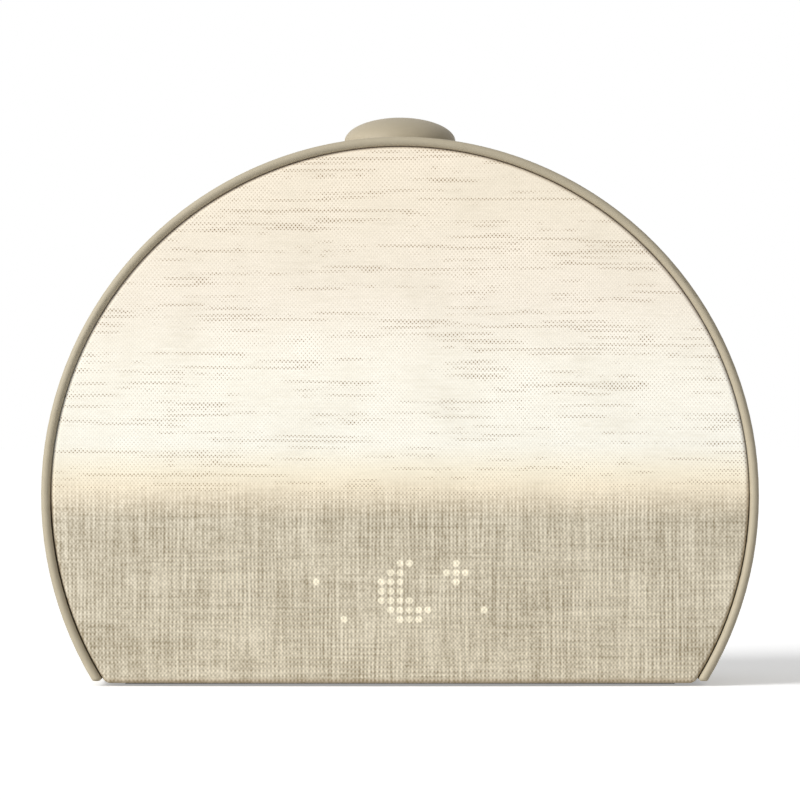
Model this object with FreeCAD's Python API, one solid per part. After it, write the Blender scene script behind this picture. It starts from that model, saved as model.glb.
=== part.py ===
"""Sunrise alarm clock: a round case cut flat at the foot, with a lit woven front, a press button on top
and two dials, an alarm slider, a loudspeaker and a power inlet on the back.

Millimetres. X runs to the right seen from the front, Y to the back and Z up. The origin lies on the table,
at the middle of the clock's width and of its depth. A depth below is counted backwards from the front plane
of the case's rim, and a height from the table.
"""
import FreeCAD
import Part

import math
import os

V = FreeCAD.Vector

# Case
case_radius = 104.0
axis_height = 55.2
case_depth = 80.0
wall = 2.6
shoulder_length = 44.0
rear_face_radius = 76.0
case_bottom = 1.5
case_foot_round = 0.8

# Base plate and foot
base_thickness = 3.6
base_gap = 0.3
foot_recess = 0.9
foot_inset = 5.0
foot_front_inset = 4.0
base_boss_radius = 4.2
base_boss_height = 12.0
front_boss_inset = 19.0
front_boss_depth = 32.0
rear_boss_inset = 13.8
rear_boss_reach = 9.0

# Front panel: cloth over a lit diffuser above and a dotted mask below
panel_gap = 0.3
panel_bottom = 0.9
crown_rise = 2.5
crown_proud = 1.7
panel_round = 1.2
fabric_thickness = 0.9
skirt_depth = 11.0
skirt_wall = 2.2
panel_back = 4.0
horizon_height = 56.0
split_gap = 0.15
tongue_drop = 7.0
tongue_thickness = 1.5
stake_radius = 1.2
stake_spacing = 27.0
stake_count = 6
clip_width = 9.0
clip_thickness = 1.7
clip_barb = 1.4
clip_hook = 1.8
clip_play = 0.3
diffuser_clips = (12.0, 48.0, 132.0, 168.0)
mask_clips = (-14.0, 194.0)

# Dot display
dot_pitch = 2.7
dot_radius = 1.0
dot_columns = 27
dot_rows = 7
display_height = 27.6
film_thickness = 0.4
film_margin = 1.6
led_height = 0.7
led_width = 1.2
led_gap = 0.3
display_board_margin = 10.0
display_board_rise = 13.0
display_boss_radius = 2.4
sensor_drop = 11.0
sensor_size = 2.0

# Light box behind the front panel
box_clearance = 0.5
box_wall = 1.8
box_depth_share = 0.20625
box_taper = 7.0
plate_thickness = 2.2
plate_gap = 0.5
baffle_drop = 1.0
reflector_thickness = 0.5
reflector_gap = 0.4
strip_end_gap = 15.15
strip_thickness = 1.2
strip_front_gap = 2.0
strip_width = 13.0
strip_lamp_line = 4.5
strip_screw_line = 10.3
strip_pad_inset = 2.4
strip_hole_rise = 5.0
sunrise_led_count = 24
sunrise_led_size = 5.0
sunrise_led_height = 1.6
lens_radius = 1.9
lens_depth = 0.4

# Posts and screws
post_radius = 4.0
post_inset = 20.0
post_angles = (20.0, 60.0, 120.0, 160.0, 205.0, 335.0)
rib_thickness = 2.4
rib_setback = 6.0
pilot_depth = 12.0
large_screw_radius = 1.45
large_head_radius = 2.8
large_head_height = 1.8
large_screw_length = 10.0
small_screw_radius = 0.95
small_head_radius = 1.9
small_head_height = 1.3
small_screw_length = 5.0
thread_clearance = 0.05
hole_clearance = 0.3
recess_width = 0.5

# Printed boards
board_thickness = 1.6
main_board_half_width = 46.0
main_board_low = 12.0
main_board_high = 48.0
main_board_standoff = 6.0
standoff_radius = 2.8
board_edge = 4.0
connector_size = (8.0, 5.5, 6.0)
connector_count = 7
connector_pitch = 10.5
capacitor_radius = 3.1
capacitor_length = 8.5
capacitor_insets = (13.0, 5.5)
amplifier_inset = 22.5

# Top button
button_depth_share = 0.525
button_radius = 16.5
button_dome = 7.1
button_proud = 7.7
button_clearance = 0.4
button_wall = 1.8
well_wall = 2.4
well_reach = 1.3
well_clear = 4.0
flange_reach = 1.5
flange_thickness = 1.6
stop_gap = 0.3
spring_radius = 10.0
spring_wire = 0.45
spring_turns = 5
spring_seat_width = 3.0
spring_length = 11.0
bracket_drop = 6.0
bracket_half_length = 31.0
bracket_half_width = 12.0
bracket_thickness = 2.0
bracket_boss_x = 25.5
bracket_boss_radius = 3.6
bracket_window = 5.5
button_board_drop = 2.0
button_board_half_length = 13.0
button_board_half_width = 10.0
switch_half_width = 3.1
switch_height = 7.0
plunger_radius = 1.7
plunger_height = 4.0
stem_radius = 3.2

# Loudspeaker
speaker_height = 80.0
grille_radius = 27.0
grille_clearance = 0.3
grille_thickness = 1.2
grille_recess = 1.7
grille_hole_radius = 0.95
grille_ring_pitch = 3.5
grille_rings = 6
speaker_opening = 24.0
cloth_thickness = 0.3
gasket_thickness = 1.2
speaker_flange_radius = 31.0
speaker_flange_thickness = 1.2
speaker_screw_circle = 28.6
basket_depth = 15.0
basket_wall = 1.0
basket_window_angle = 50.0
magnet_radius = 14.0
magnet_bore = 8.0
magnet_length = 6.0
pole_radius = 6.0
top_plate_bore = 7.2
top_plate_thickness = 3.0
yoke_thickness = 3.0
coil_inner = 6.35
coil_outer = 6.85
cone_radius = 18.0
cone_thickness = 0.5
cone_rise = 7.5
surround_roll = 2.3
surround_thickness = 0.4
cone_lip = 1.2
window_margin = 2.4
spider_thickness = 0.4
enclosure_gap = 0.6
enclosure_wall = 2.0
enclosure_clearance = 0.8
enclosure_boss_radius = 3.2
enclosure_boss_length = 5.0
enclosure_ear_thickness = 2.0

# Rear dials
dial_x = 52.0
dial_height = 80.0
dial_radius = 12.0
dial_gap = 0.6
dial_proud = 9.0
dial_round = 1.4
dial_flutes = 24
flute_radius = 0.75
dial_pointer_radius = 1.1
shaft_radius = 3.0
shaft_flat = 2.3
shaft_end_gap = 1.5
bushing_radius = 3.5
bushing_clearance = 0.3
bushing_proud = 0.2
encoder_half_width = 6.0
encoder_depth = 6.5
encoder_gap = 3.8
dial_board_half_width = 12.5
dial_post_offset = 9.6
dial_post_radius = 2.4

# Alarm slider
slider_height = 122.0
slider_half_width = 3.5
slider_half_rise = 2.4
slider_proud = 1.8
slider_travel = 4.0
slider_clearance = 0.4
slider_flange_reach = 7.5
slider_flange_rise = 5.0
slider_flange_thickness = 1.4
slider_flange_gap = 0.35
switch_lever = 1.0
switch_body_half_width = 6.5
switch_body_half_rise = 3.0
switch_body_depth = 4.5
alarm_board_half_width = 22.0
alarm_board_half_rise = 5.5
alarm_post_x = 18.5

# Power inlet
inlet_height = 16.1
pocket_half_width = 8.0
pocket_half_rise = 6.8
pocket_depth = 6.0
pocket_wall = 2.0
jack_half_width = 4.6
jack_half_rise = 5.5
jack_length = 14.0
jack_nose_radius = 3.9
nose_clearance = 0.2
barrel_radius = 2.9
barrel_depth = 9.5
contact_pin_radius = 1.0
contact_pin_setback = 1.0
power_board_half_width = 14.5
power_board_length = 20.0
power_screw_reach = 8.0

# Leads
lead_wire_radius = 0.7
lead_pitch = 1.6
lead_bend = 8.0
lead_hole_radius = 2.6
lead_clearance = 0.6
ribbon_width = 14.0
ribbon_thickness = 0.3
ribbon_bend = 4.0

# Worked out from the sizes above
total_depth = crown_proud + case_depth + dial_proud
shoulder_depth = case_depth - shoulder_length
front_boss_x = math.sqrt(case_radius**2 - (axis_height - case_bottom) ** 2) - front_boss_inset
rear_boss_x = math.sqrt(rear_face_radius**2 - (axis_height - case_bottom) ** 2) - rear_boss_inset
post_circle = case_radius - post_inset
button_top = axis_height + case_radius + button_proud
rim_y = crown_proud - total_depth / 2
rear_inner = case_depth - wall
case_inner = case_radius - wall
panel_radius = case_radius - wall - panel_gap
crown_radius = (panel_radius**2 + crown_rise**2) / (2 * crown_rise)
base_top = case_bottom + base_thickness
plate_low = base_top + base_gap
box_front = panel_back + tongue_thickness
box_back = box_front + case_depth * box_depth_share
plate_back = box_back + plate_thickness
skirt_inner = panel_radius - fabric_thickness - skirt_wall
box_front_radius = skirt_inner - box_clearance
box_back_radius = box_front_radius - box_taper
strip_half_length = box_front_radius - strip_end_gap
baffle_top = horizon_height - baffle_drop
display_front = panel_back + film_thickness + led_gap + led_height
display_half_width = dot_pitch * (dot_columns - 1) / 2
display_board_half_width = display_half_width + display_board_margin
main_front = plate_back + main_board_standoff
main_back = main_front + board_thickness
button_depth = case_depth * button_depth_share
well_outer = button_radius + button_clearance + well_wall
shoulder_share = max(0.0, (button_depth + well_outer - shoulder_depth) / shoulder_length)
shoulder_fall = (case_radius - rear_face_radius) * (1 - math.sqrt(1 - shoulder_share**2))
well_bottom = axis_height + case_radius - wall - shoulder_fall - well_reach
bracket_top = well_bottom - bracket_drop
switch_top = bracket_top - bracket_thickness - button_board_drop + switch_height
plunger_top = switch_top + plunger_height
dome_base = button_top - button_dome
enclosure_inner = speaker_flange_radius + enclosure_gap
enclosure_outer = enclosure_inner + enclosure_wall
inlet_lead_depth = main_back + connector_size[2] + lead_clearance + lead_wire_radius
enclosure_front = inlet_lead_depth + lead_wire_radius + enclosure_clearance
encoder_back = rear_inner - encoder_gap
dial_board_back = encoder_back - encoder_depth
dial_front = case_depth + dial_gap
dial_back = case_depth + dial_proud
slider_flange_back = rear_inner - slider_flange_gap
slider_flange_front = slider_flange_back - slider_flange_thickness
alarm_board_back = slider_flange_front - 0.6 - switch_lever * 2 - switch_body_depth
pocket_floor = case_depth - pocket_depth
power_board_top = inlet_height - jack_half_rise
flange_back = rear_inner - gasket_thickness
flange_front = flange_back - speaker_flange_thickness
surround_level = flange_front + 0.1
surround_middle = cone_radius + cone_lip + surround_roll
stake_height = horizon_height - tongue_drop / 2 - 0.9
strip_front = box_front + strip_front_gap
socket_depth = main_back + connector_size[2] / 2
connector_places = [connector_pitch * (i - (connector_count - 1) / 2) for i in range(connector_count)]
power_connector_x = connector_places[2]
alarm_connector_x = connector_places[4]
capacitor_places = [main_board_half_width - inset for inset in capacitor_insets]


def at(depth):
    """Y of the plane this far behind the rim's front."""
    return rim_y + depth


def block(x0, x1, d0, d1, z0, z1):
    """Upright block between two planes on each axis."""
    return Part.makeBox(x1 - x0, d1 - d0, z1 - z0, V(x0, at(d0), z0))


def rod(x, z, radius, d0, d1):
    """Round rod that runs front to back."""
    return Part.makeCylinder(radius, d1 - d0, V(x, at(d0), z), V(0, 1, 0))


def ring(x, z, outer, inner, d0, d1):
    """Round ring whose axis runs front to back."""
    return rod(x, z, outer, d0, d1).cut(rod(x, z, inner, d0 - 1, d1 + 1))


def column(x, depth, radius, z0, z1):
    """Round rod that stands upright."""
    return Part.makeCylinder(radius, z1 - z0, V(x, at(depth), z0), V(0, 0, 1))


def joined(shapes):
    """One solid out of shapes that meet, with its split faces healed."""
    return shapes[0].multiFuse(shapes[1:]).removeSplitter()


def without(shape, tools):
    """The shape less all the tools."""
    return shape.cut(Part.makeCompound(tools)) if tools else shape


def above(height):
    """Half space over a height, wide enough for the clock."""
    reach = 3 * case_radius
    return Part.makeBox(2 * reach, 2 * reach, reach, V(-reach, -reach, height))


def around(radius, degrees):
    """X and height of a point on a circle about the case's axis."""
    turn = math.radians(degrees)
    return radius * math.cos(turn), axis_height + radius * math.sin(turn)


def turned_about(shape, degrees):
    """The shape turned about the case's axis, from the right-hand side upwards."""
    copy = shape.copy()
    copy.rotate(V(0, 0, axis_height), V(0, 1, 0), -degrees)
    return copy


def profile(points, x, z):
    """Closed outline of (radius, depth) points beside an axis that runs front to back."""
    corners = [V(x + radius, at(depth), z) for radius, depth in points]
    return Part.makePolygon(corners + corners[:1])


def lathe(wire, x, z):
    """Solid turned from an outline about an axis that runs front to back."""
    return Part.Face(wire).revolve(V(x, 0, z), V(0, 1, 0), 360)


def shoulder(radius, back):
    """Quarter ellipse from the case's side to its rear face, for a form of this radius and depth."""
    curve = Part.BezierCurve()
    curve.setPoles([
        V(radius, at(shoulder_depth), axis_height),
        V(radius, at(back), axis_height),
        V(rear_face_radius, at(back), axis_height),
    ])
    curve.setWeight(2, math.sqrt(0.5))
    return curve.toShape()


def case_form(inset):
    """The case's outer form as a plain solid, smaller all round by the inset and open to no side."""
    radius = case_radius - inset
    back = case_depth - inset
    axis_front = V(0, at(0), axis_height)
    corner = V(radius, at(0), axis_height)
    side_end = V(radius, at(shoulder_depth), axis_height)
    face_edge = V(rear_face_radius, at(back), axis_height)
    axis_back = V(0, at(back), axis_height)
    wire = Part.Wire([
        Part.makeLine(axis_front, corner),
        Part.makeLine(corner, side_end),
        shoulder(radius, back),
        Part.makeLine(face_edge, axis_back),
        Part.makeLine(axis_back, axis_front),
    ])
    return lathe(wire, 0, axis_height)


def case_skin():
    """The case's wall, with a full round at the front edge that makes the rim."""
    half = wall / 2
    rim = Part.Arc(
        V(case_inner, at(half), axis_height),
        V(case_radius - half, at(0), axis_height),
        V(case_radius, at(half), axis_height),
    ).toShape()
    outer_side = V(case_radius, at(shoulder_depth), axis_height)
    outer_edge = V(rear_face_radius, at(case_depth), axis_height)
    outer_pole = V(0, at(case_depth), axis_height)
    inner_pole = V(0, at(rear_inner), axis_height)
    inner_edge = V(rear_face_radius, at(rear_inner), axis_height)
    inner_side = V(case_inner, at(shoulder_depth), axis_height)
    wire = Part.Wire([
        rim,
        Part.makeLine(V(case_radius, at(half), axis_height), outer_side),
        shoulder(case_radius, case_depth),
        Part.makeLine(outer_edge, outer_pole),
        Part.makeLine(outer_pole, inner_pole),
        Part.makeLine(inner_pole, inner_edge),
        shoulder(case_inner, rear_inner),
        Part.makeLine(inner_side, V(case_inner, at(half), axis_height)),
    ])
    return lathe(wire, 0, axis_height)


def cross_recess(screw, place, head_radius, direction):
    """A screw with a cross cut into its head, which faces away from the direction it drives in."""
    depth = head_radius * 0.4
    arm = head_radius * 0.7
    bars = []
    for half_x, half_other in ((arm, recess_width / 2), (recess_width / 2, arm)):
        if abs(direction.y) > 0.5:
            corner = V(place.x - half_x, place.y - depth, place.z - half_other)
            bars.append(Part.makeBox(2 * half_x, 2 * depth, 2 * half_other, corner))
        else:
            corner = V(place.x - half_x, place.y - half_other, place.z - depth)
            bars.append(Part.makeBox(2 * half_x, 2 * half_other, 2 * depth, corner))
    return without(screw, bars)


def screw(place, direction, radius, length, head_radius, head_height):
    """Pan-head screw that seats at a point and drives along a direction."""
    shank = Part.makeCylinder(radius, length, place, direction)
    head = Part.makeCylinder(head_radius, head_height, place - direction * head_height, direction)
    body = joined([shank, head])
    return cross_recess(body, place - direction * head_height, head_radius, direction)


def large_screw(place, direction):
    """Screw that holds the case's large pieces."""
    return screw(
        place, direction, large_screw_radius, large_screw_length, large_head_radius, large_head_height
    )


def small_screw(place, direction):
    """Screw that holds boards and the loudspeaker."""
    return screw(
        place, direction, small_screw_radius, small_screw_length, small_head_radius, small_head_height
    )


def bent_path(points, largest):
    """Straight runs joined by tangent arcs, each as large as its two runs allow."""
    edges = []
    start = points[0]
    for before, corner, after in zip(points, points[1:], points[2:]):
        into = (corner - before).normalize()
        out = (after - corner).normalize()
        turn = into.getAngle(out)
        run = min((corner - before).Length, (after - corner).Length)
        radius = min(largest, 0.45 * run / math.tan(turn / 2))
        cut_back = radius * math.tan(turn / 2)
        inward = (out - into).normalize()
        middle = corner + inward * (radius / math.cos(turn / 2) - radius)
        edges.append(Part.makeLine(start, corner - into * cut_back))
        edges.append(Part.Arc(corner - into * cut_back, middle, corner + out * cut_back).toShape())
        start = corner + out * cut_back
    edges.append(Part.makeLine(start, points[-1]))
    return Part.Wire(edges)


def swept(path, section):
    """Solid of one closed section carried along a path."""
    return path.makePipeShell([section], True, False)


def lead(points, spread):
    """Pair of insulated wires that run side by side from one connector to another."""
    wires = []
    first = (points[1] - points[0]).normalize()
    last = (points[-1] - points[-2]).normalize()
    for side in (-0.5, 0.5):
        offset = spread * (side * lead_pitch)
        shifted = [p + offset for p in points]
        shifted[0] = shifted[0] - first * offset.dot(first)
        shifted[-1] = shifted[-1] - last * offset.dot(last)
        path = bent_path(shifted, lead_bend)
        heading = (shifted[1] - shifted[0]).normalize()
        section = Part.Wire(Part.makeCircle(lead_wire_radius, shifted[0], heading))
        wires.append(swept(path, section))
    return wires


def d_form(radius, floor, d0, d1):
    """Flat-footed round block: a disc about the case's axis cut off at a floor height."""
    return rod(0, axis_height, radius, d0, d1).common(above(floor))


def crowned(inset, back):
    """Front panel's outer form, smaller all round by the inset, with a crowned face and rolled edges."""
    disc = d_form(panel_radius - inset, panel_bottom + inset, -crown_proud - 1, back)
    centre = V(0, at(-crown_proud + crown_radius), axis_height)
    ball = Part.makeSphere(crown_radius - inset, centre, V(0, 1, 0), -90, 90, 360)
    form = disc.common(ball)
    rolled = [edge for edge in form.Edges if edge.BoundBox.YMax < at(back) - 0.01]
    corners = [
        edge
        for edge in form.Edges
        if edge.BoundBox.YLength > 0.5 * back and edge.BoundBox.ZMax < panel_bottom + inset + 0.01
        and edge.BoundBox.XLength < 0.01
    ]
    return form.makeFillet(panel_round - 0.5 * inset, rolled + corners)


def clip(degrees):
    """Snap arm on the front panel's skirt that hooks behind the light box's plate."""
    outer = panel_radius - fabric_thickness - 0.3
    inner = outer - clip_thickness
    hook_front = plate_back + clip_play
    hook_back = hook_front + clip_hook
    half = clip_width / 2
    start = skirt_depth - 3
    arm = block(inner, outer, start, hook_back, axis_height - half, axis_height + half)
    barb = block(inner - clip_barb, outer, hook_front, hook_back, axis_height - half, axis_height + half)
    return turned_about(joined([arm, barb]), degrees)


def clip_notch(degrees):
    """Gap in the light box's plate that lets a snap arm past."""
    inner = panel_radius - fabric_thickness - 0.3 - clip_thickness - clip_play
    half = clip_width / 2 + clip_play
    gap = block(inner, case_radius, box_back - 1, plate_back + 1, axis_height - half, axis_height + half)
    return turned_about(gap, degrees)


def panel_core():
    """The stiff panel under the cloth, hollow behind and not yet split into its two halves."""
    floor = panel_bottom + fabric_thickness + skirt_wall
    hollow = d_form(skirt_inner, floor, panel_back, skirt_depth + 1)
    return crowned(fabric_thickness, skirt_depth).cut(hollow)


def stake_places():
    """X of each stake that rivets the two halves of the panel together."""
    first = -stake_spacing * (stake_count - 1) / 2
    return [first + stake_spacing * i for i in range(stake_count)]


def dot_places():
    """X and height of every dot of the display."""
    places = []
    for row in range(dot_rows):
        for column_index in range(dot_columns):
            x = dot_pitch * (column_index - (dot_columns - 1) / 2)
            places.append((x, display_height + dot_pitch * (row - (dot_rows - 1) / 2)))
    return places


def display_corners():
    """X and height of the four screws that hold the display's board."""
    x = display_board_half_width - board_edge
    rise = display_board_rise - board_edge
    return [(side * x, display_height + lift * rise) for side in (-1, 1) for lift in (-1, 1)]


def fabric_cover():
    """Woven cover, stretched over the panel and folded round its edge."""
    return crowned(0, skirt_depth).cut(crowned(fabric_thickness, skirt_depth + 1))


def sunrise_diffuser():
    """Upper half of the panel, in opal plastic, with the tongue that overlaps the mask."""
    half = panel_core().common(above(horizon_height))
    reach = stake_spacing * (stake_count - 1) / 2 + 8
    tongue = block(
        -reach, reach, panel_back, box_front, horizon_height - tongue_drop, horizon_height + 2.5
    )
    clips = [clip(degrees) for degrees in diffuser_clips]
    holes = [
        rod(x, stake_height, stake_radius + thread_clearance, panel_back - 1, box_front + 1)
        for x in stake_places()
    ]
    return without(joined([half, tongue] + clips), holes)


def display_mask():
    """Lower half of the panel, opaque, with a hole in front of every dot."""
    half = panel_core().cut(above(horizon_height - split_gap))
    stakes = [rod(x, stake_height, stake_radius, panel_back - 1, box_front + 0.6) for x in stake_places()]
    bosses = [rod(x, z, display_boss_radius, panel_back - 1, display_front) for x, z in display_corners()]
    clips = [clip(degrees) for degrees in mask_clips]
    body = joined([half] + stakes + bosses + clips)
    holes = [rod(x, z, dot_radius, -crown_proud - 1, panel_back + 1) for x, z in dot_places()]
    holes.append(rod(0, display_height - sensor_drop, dot_radius, -crown_proud - 1, panel_back + 1))
    pilot = small_screw_radius + thread_clearance
    holes += [rod(x, z, pilot, 1.5, display_front + 1) for x, z in display_corners()]
    return without(body, holes)


def light_gasket():
    """Foam strip between the diffuser and the light box's front edge, round the lit half."""
    strip = ring(
        0, axis_height, box_front_radius, box_front_radius - box_wall, panel_back, box_front
    )
    return strip.common(above(horizon_height + 3))


def cone(front_radius, back_radius, d0, d1, floor):
    """Tapered round block cut off at a floor height."""
    shape = Part.makeCone(front_radius, back_radius, d1 - d0, V(0, at(d0), axis_height), V(0, 1, 0))
    return shape.common(above(floor))


def main_board_corners():
    """X and height of the main board's four screws."""
    x = main_board_half_width - board_edge
    levels = (main_board_low + board_edge, main_board_high - board_edge)
    return [(side * x, z) for side in (-1, 1) for z in levels]


def light_box():
    """White tray that carries the lamp strip and main board, with a baffle between light and display."""
    outer = cone(box_front_radius, box_back_radius, box_front, box_back, plate_low)
    inner = cone(
        box_front_radius - box_wall, box_back_radius - box_wall, box_front, box_back, plate_low + box_wall
    )
    baffle = block(
        -case_radius, case_radius, box_front, box_back, baffle_top - box_wall, baffle_top
    ).common(outer)
    plate = d_form(case_inner - plate_gap, plate_low, box_back, plate_back)
    standoffs = [rod(x, z, standoff_radius, box_back, main_front) for x, z in main_board_corners()]
    tray = joined([outer.cut(inner), baffle, plate] + standoffs)
    cuts = [clip_notch(degrees) for degrees in diffuser_clips + mask_clips]
    for degrees in post_angles:
        x, z = around(post_circle, degrees)
        cuts.append(rod(x, z, large_screw_radius + hole_clearance, box_back - 1, plate_back + 1))
    pilot = small_screw_radius + thread_clearance
    cuts += [rod(x, z, pilot, box_back + 0.8, main_front + 1) for x, z in main_board_corners()]
    half = ribbon_width / 2 + 1.5
    slot_height = main_board_high - 4
    cuts.append(block(-half, half, box_back - 1, plate_back + 1, slot_height - 2, slot_height + 3))
    cuts.append(rod(strip_pad_x(), strip_hole_height(), lead_hole_radius, box_back - 1, plate_back + 1))
    cuts += [
        column(x, strip_front + strip_screw_line, pilot, baffle_top - box_wall - 1, baffle_top + 1)
        for x in strip_screw_places()
    ]
    cuts.append(column(0, button_depth, well_outer + plate_gap, well_bottom - well_clear, case_radius * 2))
    return without(tray, cuts)


def chassis_screws():
    """Screws that hold the light box to the case's posts."""
    made = []
    for degrees in post_angles:
        x, z = around(post_circle, degrees)
        made.append(large_screw(V(x, at(box_back), z), V(0, 1, 0)))
    return made


def reflector_sheet():
    """White sheet at the back of the lit chamber."""
    radius = box_back_radius - box_wall - reflector_gap
    sheet = d_form(radius, baffle_top + strip_thickness, box_back - reflector_thickness, box_back)
    holes = []
    for degrees in post_angles:
        x, z = around(post_circle, degrees)
        holes.append(rod(x, z, large_head_radius + hole_clearance, box_back - 2, box_back + 1))
    holes.append(rod(
        strip_pad_x(), strip_hole_height(), lead_hole_radius + hole_clearance, box_back - 2, box_back + 1
    ))
    return without(sheet, holes)


def strip_pad_x():
    """X of the pads where the lamp strip's lead ends."""
    return strip_half_length - strip_pad_inset


def strip_hole_height():
    """Height of the hole that the lamp strip's lead comes through."""
    return baffle_top + strip_hole_rise


def sunrise_board():
    """Aluminium strip on the baffle that carries the lamps."""
    strip = block(
        -strip_half_length, strip_half_length, strip_front, strip_front + strip_width,
        baffle_top, baffle_top + strip_thickness,
    )
    line = strip_front + strip_screw_line
    holes = [
        column(x, line, small_screw_radius + hole_clearance, baffle_top - 1, baffle_top + 3)
        for x in strip_screw_places()
    ]
    return without(strip, holes)


def strip_screw_places():
    """X of the lamp strip's screws."""
    reach = strip_half_length - 3 * strip_pad_inset
    return (-reach, 0.0, reach)


def sunrise_leds():
    """Lamps of the sunrise light, in one row along the strip."""
    middle = strip_front + strip_lamp_line
    pitch = 2 * (strip_half_length - 2 * strip_pad_inset) / sunrise_led_count
    half = sunrise_led_size / 2
    low = baffle_top + strip_thickness
    lamps = []
    for i in range(sunrise_led_count):
        x = pitch * (i - (sunrise_led_count - 1) / 2)
        body = block(x - half, x + half, middle - half, middle + half, low, low + sunrise_led_height)
        lens = column(x, middle, lens_radius, low + sunrise_led_height - lens_depth, low + 3)
        lamps.append(body.cut(lens))
    return lamps


def display_film():
    """Thin white sheet that spreads each dot's light."""
    half = display_half_width + film_margin
    rise = dot_pitch * (dot_rows - 1) / 2 + film_margin
    return block(
        -half, half, panel_back, panel_back + film_thickness, display_height - rise, display_height + rise
    )


def display_board():
    """Board behind the mask that carries one small lamp for each dot."""
    half = display_board_half_width
    board = block(
        -half, half, display_front, display_front + board_thickness,
        display_height - display_board_rise, display_height + display_board_rise,
    )
    holes = [
        rod(x, z, small_screw_radius + hole_clearance, display_front - 1, display_front + 3)
        for x, z in display_corners()
    ]
    socket = block(
        -ribbon_width / 2 - 1, ribbon_width / 2 + 1, display_front + board_thickness,
        display_front + board_thickness + 2.4, display_height + 5, display_height + 9,
    )
    return joined([without(board, holes), socket])


def display_leds():
    """One lamp behind each dot."""
    half = led_width / 2
    front = display_front - led_height
    return [block(x - half, x + half, front, display_front, z - half, z + half) for x, z in dot_places()]


def light_sensor():
    """Sensor that dims the display in a dark room, behind its own hole in the mask."""
    half = sensor_size / 2
    z = display_height - sensor_drop
    front = display_front - led_height
    body = block(-half, half, front, display_front, z - half, z + half)
    return body.cut(rod(0, z, 0.6, front - 1, front + 0.2))


def main_board():
    """Board that runs the clock, on the back of the light box."""
    half = main_board_half_width
    board = block(-half, half, main_front, main_back, main_board_low, main_board_high)
    holes = [
        rod(x, z, small_screw_radius + hole_clearance, main_front - 1, main_back + 1)
        for x, z in main_board_corners()
    ]
    socket = block(
        -ribbon_width / 2 - 1, ribbon_width / 2 + 1, main_front - 2.6, main_front,
        main_board_high - 12, main_board_high - 8,
    )
    return joined([without(board, holes), socket])


def board_chips():
    """The processor and the loudspeaker's amplifier."""
    low = main_board_low + 7
    processor = block(-4, 8, main_back, main_back + 1.2, low, low + 12)
    x = main_board_half_width - amplifier_inset
    amplifier = block(x - 3.5, x + 3.5, main_back, main_back + 1.0, low + 4, low + 11)
    return [processor, amplifier]


def wifi_module():
    """Radio module: a small board with a metal can over its circuits."""
    low = main_board_low + 6
    carrier = block(-30, -12, main_back, main_back + 0.8, low, low + 21)
    can = block(-29, -13, main_back + 0.8, main_back + 3.0, low, low + 15)
    return joined([carrier, can])


def capacitors():
    """Upright round capacitors beside the amplifier."""
    z = main_board_low + 10
    back = main_back + capacitor_length
    return [rod(x, z, capacitor_radius, main_back, back) for x in capacitor_places]


def board_connectors():
    """White wire sockets along the main board's top edge."""
    width, rise, deep = connector_size
    made = []
    for x in connector_places:
        body = block(
            x - width / 2, x + width / 2, main_back, main_back + deep,
            main_board_high - rise, main_board_high,
        )
        slot = block(
            x - width / 2 + 1, x + width / 2 - 1, main_back + 1.2, main_back + deep - 1.2,
            main_board_high - 0.8, main_board_high + 1,
        )
        made.append(body.cut(slot))
    return made


def rear_features():
    """Bosses and posts that grow from the case's inside, trimmed to its outer form."""
    grown = []
    for degrees in post_angles:
        x, z = around(post_circle, degrees)
        grown.append(rod(x, z, post_radius, plate_back, case_depth))
        web = block(
            post_circle, case_radius, plate_back + rib_setback, case_depth,
            axis_height - rib_thickness / 2, axis_height + rib_thickness / 2,
        )
        grown.append(turned_about(web, degrees))
    base_boss_top = base_top + base_boss_height
    half_rib = rib_thickness / 2
    for side in (-1, 1):
        x = side * front_boss_x
        grown.append(column(x, front_boss_depth, base_boss_radius, base_top, base_boss_top))
        near, far = sorted((x, side * case_radius))
        grown.append(block(
            near, far, front_boss_depth - half_rib, front_boss_depth + half_rib, base_top, base_boss_top
        ))
        x = side * rear_boss_x
        grown.append(column(x, rear_inner - rear_boss_reach, base_boss_radius, base_top, base_boss_top))
        grown.append(block(
            x - half_rib, x + half_rib, rear_inner - rear_boss_reach, rear_inner + 0.5,
            base_top, base_boss_top,
        ))
        x = side * bracket_boss_x
        grown.append(column(x, button_depth, bracket_boss_radius, bracket_top, case_radius * 2))
    grown.append(column(0, button_depth, well_outer, well_bottom, case_radius * 2))
    for x, z in enclosure_bosses():
        grown.append(rod(x, z, enclosure_boss_radius, rear_inner - enclosure_boss_length, rear_inner + 0.5))
    for x, z in dial_posts():
        grown.append(rod(x, z, dial_post_radius, dial_board_back, rear_inner + 0.5))
    for x, z in alarm_posts():
        grown.append(rod(x, z, dial_post_radius, alarm_board_back, rear_inner + 0.5))
    grown.append(block(
        -pocket_half_width - pocket_wall, pocket_half_width + pocket_wall,
        pocket_floor - pocket_wall, rear_inner + 0.5,
        inlet_height - pocket_half_rise - pocket_wall, inlet_height + pocket_half_rise + pocket_wall,
    ))
    keep = case_form(wall / 2)
    return [shape.common(keep) for shape in grown]


def enclosure_bosses():
    """X and height of the bosses that hold the loudspeaker's enclosure."""
    circle = enclosure_outer + enclosure_boss_radius + 0.6
    made = []
    for degrees in (45, 135, 225, 315):
        turn = math.radians(degrees)
        made.append((circle * math.cos(turn), speaker_height + circle * math.sin(turn)))
    return made


def dial_posts():
    """X and height of the posts that carry the two dials' boards."""
    step = dial_post_offset
    return [
        (side * dial_x + lift * step, dial_height + lift * step) for side in (-1, 1) for lift in (-1, 1)
    ]


def alarm_posts():
    """X and height of the posts that carry the alarm switch's board."""
    return [(-alarm_post_x, slider_height), (alarm_post_x, slider_height)]


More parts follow.
